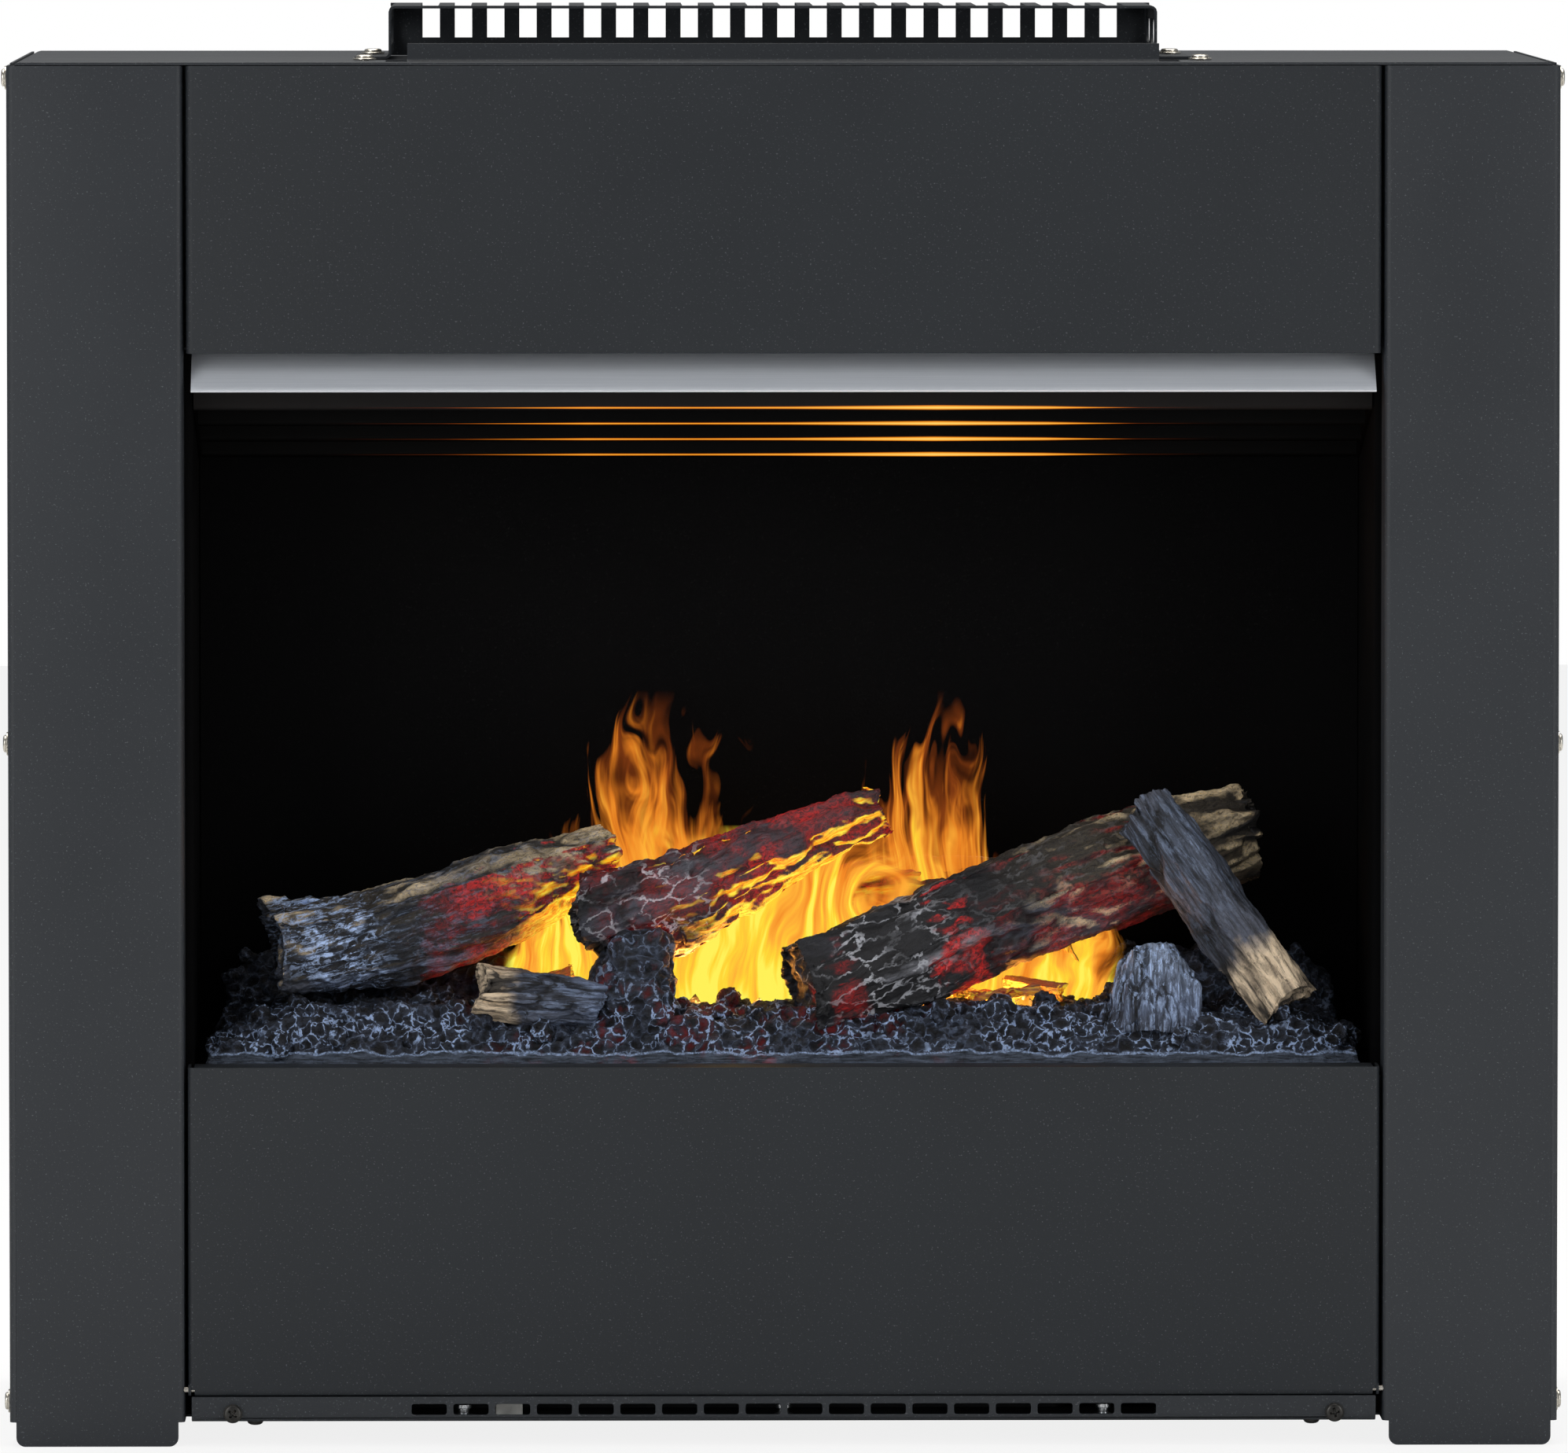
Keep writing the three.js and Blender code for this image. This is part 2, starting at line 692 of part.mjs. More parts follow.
function trimBar() {
  const top = panelBottom - SEAT;
  const front = SHEET / 2;
  const profile = folded(
    [
      [TRIM_RUN + TRIM_TAIL, top],
      [TRIM_RUN, top],
      [front, top - TRIM_FALL],
    ],
    TRIM_SHEET,
    TRIM_SHEET / 2,
  );
  const half = panelHalf - TRIM_END_GAP;
  return alongX(profile, -half, half);
}

// ---- Air guard: comb of slots that runs over the rear fold ----
function guardEndWindows(x0, x1) {
  const z = (guardBase + guardTop) / 2;
  const middle = (GUARD_FRONT + guardRear) / 2;
  const centres = [middle - GUARD_DEPTH / 4, middle + GUARD_DEPTH / 4];
  return centres.map((y) => {
    const slot = roundedRect(
      y - GUARD_END_SLOT / 2,
      y + GUARD_END_SLOT / 2,
      z - GUARD_END_SLOT_HEIGHT / 2,
      z + GUARD_END_SLOT_HEIGHT / 2,
      GUARD_END_SLOT_HEIGHT / 2 - 0.1,
    );
    return alongX(slot, x0, x1, 3);
  });
}

function topGuard() {
  const hood = folded(
    [
      [guardLeft - GUARD_FOOT, guardBase + SHEET],
      [guardLeft, guardBase + SHEET],
      [guardLeft, guardTop],
      [guardRight, guardTop],
      [guardRight, guardBase + SHEET],
      [guardRight + GUARD_FOOT, guardBase + SHEET],
    ],
    -SHEET,
  );
  const rear = folded(
    [
      [guardRear - 4 * corner, guardTop],
      [guardRear, guardTop],
      [guardRear, guardBase],
    ],
    -SHEET,
  );
  const comb = shapeOf([
    [GUARD_FRONT + GUARD_MARGIN, guardTop + 1],
    [GUARD_FRONT + GUARD_MARGIN, guardTop - corner],
    [guardRear - corner, guardTop - corner],
    [guardRear - corner, guardBase + GUARD_MARGIN],
    [guardRear + 1, guardBase + GUARD_MARGIN],
    [guardRear + 1, guardTop + 1],
  ]);
  const slots = Array.from({ length: GUARD_SLOTS }, (_, i) => {
    const x = GUARD_OFFSET + (i - (GUARD_SLOTS - 1) / 2) * GUARD_PITCH;
    return alongX(comb, x - GUARD_SLOT / 2, x + GUARD_SLOT / 2);
  });
  const clearRear = block(
    guardLeft - GUARD_FOOT - 1,
    guardRight + GUARD_FOOT + 1,
    guardRear - corner,
    guardRear + 1,
    guardBase - 1,
    guardTop + 1,
  );
  const body = join([
    cut(alongY(hood, GUARD_FRONT, guardRear), [clearRear]),
    alongX(rear, guardLeft, guardRight),
  ]);
  return cut(body, [
    ...slots,
    ...guardEndWindows(guardLeft - 1, guardLeft + corner),
    ...guardEndWindows(guardRight - corner, guardRight + 1),
    ...screwHoles(guardScrews, guardBase - 1, guardBase + corner),
  ]);
}

placePair(casing, "column", column(), coat);
placePair(casing, "casing_side", casingSide(), coat);
place(casing, "casing_back", casingBack(), galvanised);
place(casing, "casing_top", casingTop(), coat);
place(casing, "base_tray", baseTray(), coat);
const topPanel = pan(panelHalf, panelBottom, panelTop, PANEL_FLANGE, PANEL_SHELF, 0);
place(casing, "top_front_panel", topPanel, coat);
place(casing, "access_flap", accessFlap(), coat);
place(casing, "trim_bar", trimBar(), satinTrim);
place(casing, "top_guard", topGuard(), coat);

const pinMiddle = columnInner - REVEAL / 2;
const flapPin = rod(
  [pinMiddle - PIN_LENGTH / 2, pinY, pinZ],
  [pinMiddle + PIN_LENGTH / 2, pinY, pinZ],
  pinRadius,
  12,
);
placePair(casing, "flap_pin", flapPin, nickel);

// Pan-head screw with its washer, drawn with the head up the Y axis and the seat at the origin.
function panScrew(washer) {
  const rim = WASHER + SEAT;
  return turned(
    [
      [0, -SCREW_LENGTH],
      [SCREW_RADIUS, -SCREW_LENGTH],
      [SCREW_RADIUS, SEAT],
      [washer, SEAT],
      [washer, rim],
      [SCREW_HEAD, rim],
      [SCREW_HEAD, rim + SCREW_HEAD_HEIGHT * 0.5],
      [SCREW_HEAD * 0.6, rim + SCREW_HEAD_HEIGHT],
      [0, rim + SCREW_HEAD_HEIGHT],
    ],
    8,
  );
}

const screwGeometry = panScrew(WASHER_RADIUS);
sideScrewHeights.forEach((z, i) => {
  [-1, 1].forEach((side) => {
    const name = `side_screw_${side < 0 ? "left" : "right"}_${i + 1}`;
    const screw = place(casing, name, screwGeometry, nickel);
    screw.position.set(side * halfWidth, SIDE_SCREW_Y, z);
    screw.rotation.z = (-side * Math.PI) / 2;
  });
});
topScrews.forEach(([x, y], i) => {
  const screw = place(casing, `top_screw_${i + 1}`, screwGeometry, nickel);
  screw.position.set(x, y, CASE_HEIGHT);
  screw.rotation.x = Math.PI / 2;
});
guardScrews.forEach(([x, y], i) => {
  const screw = place(casing, `guard_screw_${i + 1}`, screwGeometry, nickel);
  screw.position.set(x, y, guardBase + SHEET);
  screw.rotation.x = Math.PI / 2;
});

const baseScrewGeometry = panScrew(BASE_WASHER_RADIUS);
[-1, 1].forEach((side) => {
  const name = `base_screw_${side < 0 ? "left" : "right"}`;
  const screw = place(casing, name, baseScrewGeometry, nickel);
  screw.position.set(side * baseScrewX, SHEET + SEAT, baseScrewZ);
  screw.rotation.x = Math.PI;
});

// ---- Firebox ----
const firebox = subassembly("firebox");

// A cross member between the casing sides, folded down at its ends.
function bridge(top, y0, y1) {
  const profile = folded(
    [
      [-pocketHalf, top - BRIDGE_FLANGE],
      [-pocketHalf, top],
      [pocketHalf, top],
      [pocketHalf, top - BRIDGE_FLANGE],
    ],
    -SHEET,
  );
  return alongY(profile, y0, y1);
}

function fireboxDeck() {
  const lip = folded([
    [DECK_FRONT + 2 * corner, deckTop],
    [DECK_FRONT, deckTop],
    [DECK_FRONT, deckTop - DECK_LIP],
  ]);
  const x0 = SUMP_LEFT - DECK_OPENING_MARGIN;
  const y0 = SUMP_FRONT - 2 * DECK_OPENING_MARGIN;
  const y1 = SUMP_REAR + 2 * DECK_OPENING_MARGIN;
  return cut(join([bridge(deckTop, DECK_FRONT + corner, DECK_REAR), alongX(lip, -bedHalf, bedHalf)]), [
    block(x0, -x0, y0, y1, deckTop - 2 * SHEET, deckTop + 1),
  ]);
}

function heaterShelf() {
  const [x0, x1, y0, y1] = heaterMouth;
  return cut(bridge(shelfTop, SHELF_FRONT, SHELF_REAR), [
    block(x0, x1, y0, y1, shelfTop - 2 * SHEET, shelfTop + 1),
  ]);
}

const wallBottom = deckTop + SEAT;
const wallTop = trimUnder;

function fireboxWall() {
  const front = REVEAL_DEPTH + SEAT;
  const profile = folded([
    [fireboxHalf, FIREBOX_DEPTH + FIREBOX_FLANGE],
    [fireboxHalf, front],
    [fireboxHalf + FIREBOX_FLANGE, front],
  ]);
  return alongZ(profile, wallBottom, wallTop);
}

function fireboxBack() {
  const profile = folded(
    [
      [FIREBOX_DEPTH + FIREBOX_FLANGE, wallBottom],
      [FIREBOX_DEPTH, wallBottom],
      [FIREBOX_DEPTH, wallTop],
      [FIREBOX_DEPTH + FIREBOX_FLANGE, wallTop],
    ],
    -SHEET,
  );
  const half = fireboxHalf - SEAT;
  return alongX(profile, -half, half);
}

// Stepped outlet louvre: each step is a riser that faces the room with a tread folded back from its
// lower edge, and warm air leaves through the slots between one tread and the next riser.
function outletLouvre() {
  const half = fireboxHalf - SEAT;
  const top = trimUnder;
  const first = top - LOUVRE_BAND;
  const rear = FIREBOX_DEPTH - SEAT;
  const steps = Array.from({ length: LOUVRE_STEPS }, (_, i) => {
    const y = LOUVRE_FRONT + i * LOUVRE_PITCH;
    const z = first - i * LOUVRE_DROP;
    const riserTop = i === 0 ? top : z + LOUVRE_RISER;
    const profile = folded([
      [y, riserTop],
      [y, z],
      [Math.min(y + LOUVRE_TREAD, rear), z],
    ]);
    return alongX(profile, -half, half);
  });
  const last = first - (LOUVRE_STEPS - 1) * LOUVRE_DROP;
  const lastY = LOUVRE_FRONT + (LOUVRE_STEPS - 1) * LOUVRE_PITCH;
  const cheek = shapeOf([
    [LOUVRE_FRONT, first + corner],
    [LOUVRE_FRONT + corner, first],
    [lastY, last],
    [rear, last],
    [rear, last + 2 * LOUVRE_RISER],
    [LOUVRE_FRONT + LOUVRE_PITCH, top],
    [LOUVRE_FRONT, top],
  ]);
  const cheeks = [
    [-half, SHEET - half],
    [half - SHEET, half],
  ].map(([x0, x1]) => alongX(cheek, x0, x1));
  return join([...steps, ...cheeks]);
}

place(firebox, "firebox_deck", fireboxDeck(), fireboxBlack);
place(firebox, "heater_shelf", heaterShelf(), galvanised);
placePair(firebox, "firebox_wall", fireboxWall(), fireboxBlack);
place(firebox, "firebox_back", fireboxBack(), fireboxBlack);
place(firebox, "outlet_louvre", outletLouvre(), fireboxBlack);

// ---- Fuel bed ----
const logBed = subassembly("log_bed");
const bedRear = BED_FRONT + BED_DEPTH;

function smooth(low, high, value) {
  return THREE.MathUtils.smoothstep(value, low, high);
}

// Height of the moulded embers above the bed's base.
function bedHeight(x, y) {
  const end = bedHalf - Math.abs(x);
  const skirt = BED_SKIRT * smooth(-4, 5, y - BED_FRONT);
  const slope = BED_RISE * smooth(2, BED_FRONT_SLOPE, y - BED_FRONT) * smooth(0, BED_END_SLOPE, end);
  const middle = (MIST_SLOT[0] + MIST_SLOT[1]) / 2;
  const reach = (MIST_SLOT[1] - MIST_SLOT[0]) / 2 + 30;
  const behind = smooth(MIST_SLOT[3], MIST_SLOT[3] + 22, y);
  const bank = BED_BANK * behind * smooth(reach, reach - 30, Math.abs(x - middle));
  const coarse = Math.sin(x * 0.21 + y * 0.13) + Math.sin(y * 0.41 - x * 0.08);
  const lump = coarse + Math.sin(x * 0.37 - y * 0.29);
  const settled = smooth(3, 12, y - BED_FRONT) * smooth(2, 14, end);
  return skirt + slope + bank + BED_LUMP * lump * settled;
}

const bedTop = bedBase + BED_SKIRT + BED_RISE;

// The ember surface as rings over its length, each ring going up over the bed and back underneath.
function bedMound(grow) {
  const columns = 32;
  const rows = 9;
  const rings = [];
  for (let i = 0; i <= columns; i++) {
    const ring = [];
    for (let j = 0; j <= rows; j++) {
      const y = BED_FRONT + (BED_DEPTH * j) / rows;
      const half = bedHalf - (BED_TAPER * j) / rows;
      const x = half * ((2 * i) / columns - 1);
      ring.push(new THREE.Vector3(x, y, bedBase + bedHeight(x, y) + grow));
    }
    ring.push(new THREE.Vector3((bedHalf - BED_TAPER) * ((2 * i) / columns - 1), bedRear, bedBase));
    ring.push(new THREE.Vector3(bedHalf * ((2 * i) / columns - 1), BED_FRONT, bedBase));
    rings.push(ring.reverse());
  }
  return loft(rings);
}

function fuelBed() {
  const [x0, x1, y0, y1] = MIST_SLOT;
  const far = bedHalf - BED_TAPER - BED_WALL;
  return cut(join([bedMound(0), log(EMBER_BLOCK)]), [
    block(-far, far, BED_FRONT + BED_WALL, bedRear - BED_WALL, bedBase - 1, bedBase + BED_RECESS),
    alongZ(roundedRect(x0, x1, y0, y1, 6), bedBase - 1, bedTop + BED_BANK),
  ]);
}

// A moulded log: its spine, the radius along the way, and the lobes and furrows of its bark. A point
// of the spine is a share of half the bed's length, a depth, and a height over the embers.
function log({ spine, radii, lobes, furrow, flat = 1, seed }, grow = 0) {
  const sides = 12;
  const stations = 9;
  const points = spine.map(([x, y, z]) => new THREE.Vector3(x * bedHalf, y, bedTop + z));
  const curve = new THREE.CatmullRomCurve3(points);
  const rings = [];
  for (let s = 0; s <= stations; s++) {
    const t = s / stations;
    const centre = curve.getPointAt(t);
    const ahead = curve.getTangentAt(t);
    const level = new THREE.Vector3(0, 1, 0).addScaledVector(ahead, -ahead.y).normalize();
    const up = new THREE.Vector3().crossVectors(ahead, level);
    const slot = t * (radii.length - 1);
    const low = Math.min(Math.floor(slot), radii.length - 2);
    const radius = THREE.MathUtils.lerp(radii[low], radii[low + 1], slot - low);
    const ring = [];
    for (let k = 0; k < sides; k++) {
      const angle = (2 * Math.PI * k) / sides;
      const wave = lobes * Math.sin(2 * angle + seed) + furrow * Math.sin(5 * angle + 3 * seed + 2 * t);
      const knot = 0.05 * Math.sin(9 * t + seed + 3 * angle);
      const reach = radius * (1 + wave + knot) + grow;
      const point = centre.clone();
      point.addScaledVector(level, reach * flat * Math.cos(angle));
      point.addScaledVector(up, reach * Math.sin(angle));
      point.addScaledVector(ahead, 2.5 * Math.sin(2 * angle + seed) * (s === 0 || s === stations));
      ring.push(point);
    }
    rings.push(ring);
  }
  if (grow > 0) {
    const ends = [curve.getTangentAt(0).negate(), curve.getTangentAt(1)];
    rings[0].forEach((p) => p.addScaledVector(ends[0], grow));
    rings[stations].forEach((p) => p.addScaledVector(ends[1], grow));
  }
  return loft(rings);
}

// Block of burnt wood moulded with the bed, under the middle log.
const EMBER_BLOCK = {
  spine: [
    [-0.257, 57, -6],
    [-0.261, 54, 10],
    [-0.242, 55, 34],
  ],
  radii: [21, 17, 12],
  lobes: 0.12,
  furrow: 0.08,
  seed: 0.4,
};

// Logs in the order they are laid. Each is bedded on the embers and on the logs laid before it.
const LOGS = {
  log_rear: {
    spine: [
      [-0.460, 117, 31],
      [-0.156, 119, 36],
      [0.156, 118, 45],
      [0.413, 117, 50],
    ],
    radii: [15, 18, 20, 17],
    lobes: 0.05,
    furrow: 0.05,
    seed: 1.1,
  },
  log_left: {
    spine: [
      [-0.889, 68, 25],
      [-0.678, 75, 33],
      [-0.472, 84, 51],
      [-0.292, 94, 69],
    ],
    radii: [24, 27, 26, 15],
    lobes: 0.08,
    furrow: 0.07,
    seed: 2.3,
  },
  log_middle: {
    spine: [
      [-0.362, 62, 45],
      [-0.199, 68, 47],
      [-0.062, 76, 63],
      [0.117, 88, 84],
      [0.179, 92, 88],
    ],
    radii: [18, 24, 21, 15, 12],
    lobes: 0.07,
    furrow: 0.06,
    seed: 5.1,
  },
  log_right: {
    spine: [
      [0.031, 48, 8],
      [0.140, 55, 18],
      [0.351, 72, 40],
      [0.624, 92, 64],
      [0.826, 108, 76],
    ],
    radii: [25, 28, 26, 27, 22],
    lobes: 0.06,
    furrow: 0.07,
    seed: 3.4,
  },
  charred_stump: {
    spine: [
      [0.643, 47, -12],
      [0.647, 50, 10],
      [0.635, 52, 30],
    ],
    radii: [27, 24, 13],
    lobes: 0.1,
    furrow: 0.08,
    flat: 0.6,
    seed: 1.7,
  },
  log_split: {
    spine: [
      [0.877, 38, 3],
      [0.748, 52, 49],
      [0.627, 68, 90],
    ],
    radii: [17, 18, 16],
    lobes: 0.16,
    furrow: 0.05,
    flat: 0.75,
    seed: 0.9,
  },
  sawn_log_piece: {
    spine: [
      [-0.530, 42, 11],
      [-0.429, 43, 8],
      [-0.312, 45, 4],
    ],
    radii: [13, 13, 11],
    lobes: 0.06,
    furrow: 0.05,
    seed: 2.9,
  },
};

place(logBed, "fuel_bed", fuelBed(), ember);
const laid = [bedMound(SEAT), log(EMBER_BLOCK, SEAT)];
Object.entries(LOGS).forEach(([name, form]) => {
  const pieces = cut(log(form), laid).decompose();
  const largest = pieces.reduce((a, b) => (b.volume() > a.volume() ? b : a));
  const finish = name === "log_left" || name === "log_right" ? bark : charred;
  place(logBed, name, largest, finish);
  laid.push(log(form, SEAT));
});

// ---- Mist unit under the bed ----
const mistUnit = subassembly("mist_unit");
const tabY = SUMP_FRONT - TAB_SETBACK;
const neckX = (SUMP_LEFT + SUMP_DIVIDER[0]) / 2;
const unitY = (SUMP_FRONT + SUMP_REAR) / 2;
const tankBottom = sumpTop + SEAT;
const neckEnd = tankBottom - NECK_LENGTH;
const capFloor = neckEnd - SEAT - CAP_WALL;

// Open water sump in two wells with a passage between them, a valve post under the tank's cap, and
// lugs for the turn tabs.
function sump() {
  const floor = trayFloor + MOULD;
  const y0 = SUMP_FRONT + MOULD;
  const y1 = SUMP_REAR - MOULD;
  const [left, right] = SUMP_DIVIDER;
  const wells = [
    [SUMP_LEFT + MOULD, left],
    [right, SUMP_RIGHT - MOULD],
  ].map(([x0, x1]) => alongZ(roundedRect(x0, x1, y0, y1, 6), floor, sumpTop + 1, 2));
  const passage = block(left - 1, right + 1, unitY - 5, unitY + 5, floor, floor + 10);
  const outer = roundedRect(SUMP_LEFT, SUMP_RIGHT, SUMP_FRONT, SUMP_REAR, 6 + MOULD);
  const lugs = TAB_X.map((x) => rod([x, tabY, sumpTop - LUG_HEIGHT], [x, tabY, sumpTop], LUG_RADIUS, 12));
  const bores = TAB_X.map((x) => rod([x, tabY, 0], [x, tabY, sumpTop + 1], TAB_SHAFT + SEAT, 12));
  const post = rod([neckX, unitY, floor - 1], [neckX, unitY, capFloor - SEAT], 4, 12);
  const shell = cut(join([alongZ(outer, trayFloor, sumpTop, 2), ...lugs]), [...wells, passage, ...bores]);
  return join([shell, post]);
}

// Tapered duct that carries the mist from the sump up to the slot in the bed.
function mistDuct() {
  const z0 = sumpTop + SEAT;
  const z1 = z0 + DUCT_FLANGE;
  const top = bedBase + BED_RECESS - 3;
  const plate = alongZ(
    roundedRect(SUMP_DIVIDER[1] - 1.6, SUMP_RIGHT - 1, SUMP_FRONT + 1, SUMP_REAR - 1, 6),
    z0,
    z1,
  );
  const outer = taper(DUCT_FOOT, z0, MIST_SLOT, top);
  const inner = taper(inset(DUCT_FOOT, MOULD), z0 - 0.01, inset(MIST_SLOT, MOULD), top + 0.01);
  const port = rod([MIST_SLOT[1] - 9, unitY, fanZ], [DUCT_FOOT[1] + 9, unitY, fanZ], FAN_PORT, 20);
  return cut(join([plate, outer]), [inner, port]);
}

const fanZ = sumpTop + 4 + FAN_SIZE / 2;
const fanLeft = DUCT_FOOT[1] + 3;

function waterTank() {
  const x0 = SUMP_LEFT + 1;
  const x1 = SUMP_DIVIDER[0] + 1.6;
  const y0 = SUMP_FRONT + 1;
  const y1 = SUMP_REAR - 1;
  const top = tankBottom + TANK_HEIGHT;
  const shoulder = 5;
  const body = alongZ(roundedRect(x0, x1, y0, y1, TANK_RADIUS), tankBottom, top - shoulder);
  const crown = taper(
    inset([x0, x1, y0, y1], TANK_RADIUS / 3),
    top - shoulder,
    inset([x0, x1, y0, y1], TANK_RADIUS),
    top,
  );
  const neck = rod([neckX, unitY, neckEnd], [neckX, unitY, tankBottom + 1], NECK_RADIUS, 24);
  const [length, width, depth] = TANK_GRIP;
  const middle = (x0 + x1) / 2;
  const grip = roundedRect(middle - length / 2, middle + length / 2, unitY - width / 2, unitY + width / 2, 8);
  return cut(join([body, crown, neck]), [alongZ(grip, top - depth, top + 1)]);
}

function tankCap() {
  const ribs = 20;
  const outer = NECK_RADIUS + SEAT + CAP_WALL;
  const outline = Array.from({ length: 2 * ribs }, (_, k) => {
    const radius = k % 2 ? outer : outer - 0.9;
    const angle = (Math.PI * k) / ribs;
    return [radius * Math.cos(angle), radius * Math.sin(angle)];
  });
  const bore = rod([0, 0, CAP_WALL], [0, 0, CAP_HEIGHT + 1], NECK_RADIUS + SEAT, 24);
  return cut(alongZ(shapeOf(outline), 0, CAP_HEIGHT), [bore]);
}

// Turn tab: a lever with a rounded end on a shaft that drops into its lug.
function turnTab() {
  const half = TAB_WIDTH / 2;
  const lever = roundedRect(-half, half, -half, TAB_LENGTH, half - 0.1);
  const lift = DUCT_FLANGE + 2 * SEAT;
  const shaft = rod([0, 0, -TAB_SHAFT_LENGTH], [0, 0, lift + 1], TAB_SHAFT, 12);
  return join([alongZ(lever, lift, lift + TAB_THICKNESS), shaft]);
}

function transducer() {
  const radius = TRANSDUCER_RADIUS;
  return turned(
    [
      [0, 0],
      [radius, 0],
      [radius, 8],
      [radius * 0.8, 8],
      [radius * 0.8, 11],
      [radius * 0.5, 11],
      [radius * 0.4, 8.5],
      [0, 8.5],
    ],
    20,
  ).rotateX(Math.PI / 2);
}

// Square fan frame on a foot, with three struts that carry the spindle.
function fanHousing() {
  const half = FAN_SIZE / 2;
  const bore = half - 2;
  const frame = cut(alongX(roundedRect(-half, half, -half, half, 4), 0, FAN_DEPTH), [
    rod([-1, 0, 0], [FAN_DEPTH + 1, 0, 0], bore, 20),
  ]);
  const struts = [0, 1, 2].map((k) => {
    const angle = (2 * Math.PI * k) / 3 + Math.PI / 2;
    const tip = [FAN_DEPTH - 1.5, (bore + 1) * Math.cos(angle), (bore + 1) * Math.sin(angle)];
    return rod([FAN_DEPTH - 1.5, 0, 0], tip, 1.5, 6);
  });
  const hub = rod([FAN_DEPTH - 3, 0, 0], [FAN_DEPTH, 0, 0], FAN_HUB, 16);
  const spindle = rod([3, 0, 0], [FAN_DEPTH - 2, 0, 0], 2, 10);
  const footDrop = fanZ - trayFloor;
  const foot = block(FAN_DEPTH - 8, FAN_DEPTH, -half + 6, half - 6, -footDrop, -half + 1);
  const arch = block(FAN_DEPTH - 9, FAN_DEPTH + 1, -half + 14, half - 14, -footDrop - 1, -half - 6);
  return join([frame, ...struts, hub, spindle, cut(foot, [arch])]);
}

// Flat pitched blades that widen from the hub outwards.
function fanImpeller() {
  const tip = FAN_SIZE / 2 - 3 - FAN_TIP_GAP;
  const [middle, halfChord, halfPitch] = [7.2, 4.4, 6.5];
  const hub = cut(rod([0, 0, 0], [FAN_DEPTH - 6, 0, 0], FAN_HUB, 20), [
    rod([2.2, 0, 0], [FAN_DEPTH, 0, 0], 2 + SEAT, 10),
  ]);
  const blades = Array.from({ length: FAN_BLADES }, (_, k) => {
    const ring = (radius, share) =>
      [
        [-halfChord - 0.7, -halfPitch],
        [-halfChord + 0.7, -halfPitch],
        [halfChord + 0.7, halfPitch],
        [halfChord - 0.7, halfPitch],
      ].map(([x, across]) => {
        const point = new THREE.Vector3(middle + x * share, radius, across * share);
        return point.applyAxisAngle(new THREE.Vector3(1, 0, 0), (2 * Math.PI * k) / FAN_BLADES);
      });
    return loft([ring(tip, 1), ring(FAN_HUB - 2, 0.6)]);
  });
  return join([hub, ...blades]);
}

// Lamp strip hung under the deck: a folded channel with a row of lenses towards the mist slot.
function lampBar() {
  const half = LAMP_HALF_LENGTH;
  const channel = alongX(
    shapeOf([
      [0, 0],
      [9, 0],
      [9, 7],
      [6.5, LAMP_HEIGHT],
      [0, LAMP_HEIGHT],
    ]),
    -half,
    half,
  );
  const row = Array.from({ length: LAMP_COUNT }, (_, i) => {
    const x = (i - (LAMP_COUNT - 1) / 2) * LAMP_PITCH;
    return rod([x, 8, 3.6], [x, 10.6, 3.6], 2.8, 8);
  });
  return join([channel, ...row]);
}

place(mistUnit, "sump", sump(), blackPlastic);
place(mistUnit, "mist_duct", mistDuct(), blackPlastic);
place(mistUnit, "water_tank", waterTank(), tankPlastic);
place(mistUnit, "tank_cap", tankCap(), blackPlastic).position.set(neckX, unitY, capFloor);
const disc = place(mistUnit, "transducer", transducer(), brass);
disc.position.set(TRANSDUCER_X, unitY, trayFloor + MOULD + SEAT);
TAB_X.forEach((x, i) => {
  const tab = place(mistUnit, `turn_tab_${i ? "right" : "left"}`, turnTab(), blackPlastic);
  tab.position.set(x, tabY, sumpTop);
});
place(mistUnit, "mist_fan_housing", fanHousing(), blackPlastic).position.set(fanLeft, unitY, fanZ);
const impeller = place(mistUnit, "mist_fan_impeller", fanImpeller(), blackPlastic);
impeller.position.set(fanLeft + 3 - 2.2 - SEAT, unitY, fanZ);
const lampZ = deckTop - SHEET - SEAT - LAMP_HEIGHT;
const lampFront = place(mistUnit, "lamp_bar_front", lampBar(), whitePlastic);
lampFront.position.set(0, DECK_FRONT + SHEET + 2, lampZ);
const lampRear = place(mistUnit, "lamp_bar_rear", lampBar(), whitePlastic);
lampRear.position.set(0, FIREBOX_DEPTH, lampZ);
lampRear.rotation.z = Math.PI;

// ---- Fan heater over the firebox ----
const heater = subassembly("heater");
const ductBottom = shelfTop + SEAT;
const scrollRadius = DRUM_RADIUS + DRUM_GAP;

// Side profile of the blower casing: straight front, scroll round the drum, open mouth at the foot.
function scrollShape(wall, bottom, top) {
  const radius = scrollRadius + wall;
  const front = DUCT_FRONT + SHEET - wall;
  const rear = DUCT_FRONT + DUCT_MOUTH - SHEET + wall;
  const shape = new THREE.Shape();
  shape.moveTo(front, bottom);
  shape.lineTo(rear, bottom);
  const meet = -Math.acos((rear - DRUM_Y) / radius);
  shape.absarc(DRUM_Y, drumZ, radius, meet, 0);
  shape.lineTo(DRUM_Y + radius, top);
  shape.lineTo(front, top);
  return shape;
}

function heaterDuct() {
  const half = DUCT_WIDTH / 2;
  const outer = alongX(scrollShape(SHEET, ductBottom, topUnder - SEAT), -half, half, 12);
  const inner = alongX(scrollShape(0, ductBottom - 1, topUnder + 1), SHEET - half, half - SHEET, 12);
  const bore = rod([-half - 1, DRUM_Y, drumZ], [half + 1, DRUM_Y, drumZ], SHAFT_RADIUS + SEAT, 12);
  return cut(outer, [inner, bore]);
}

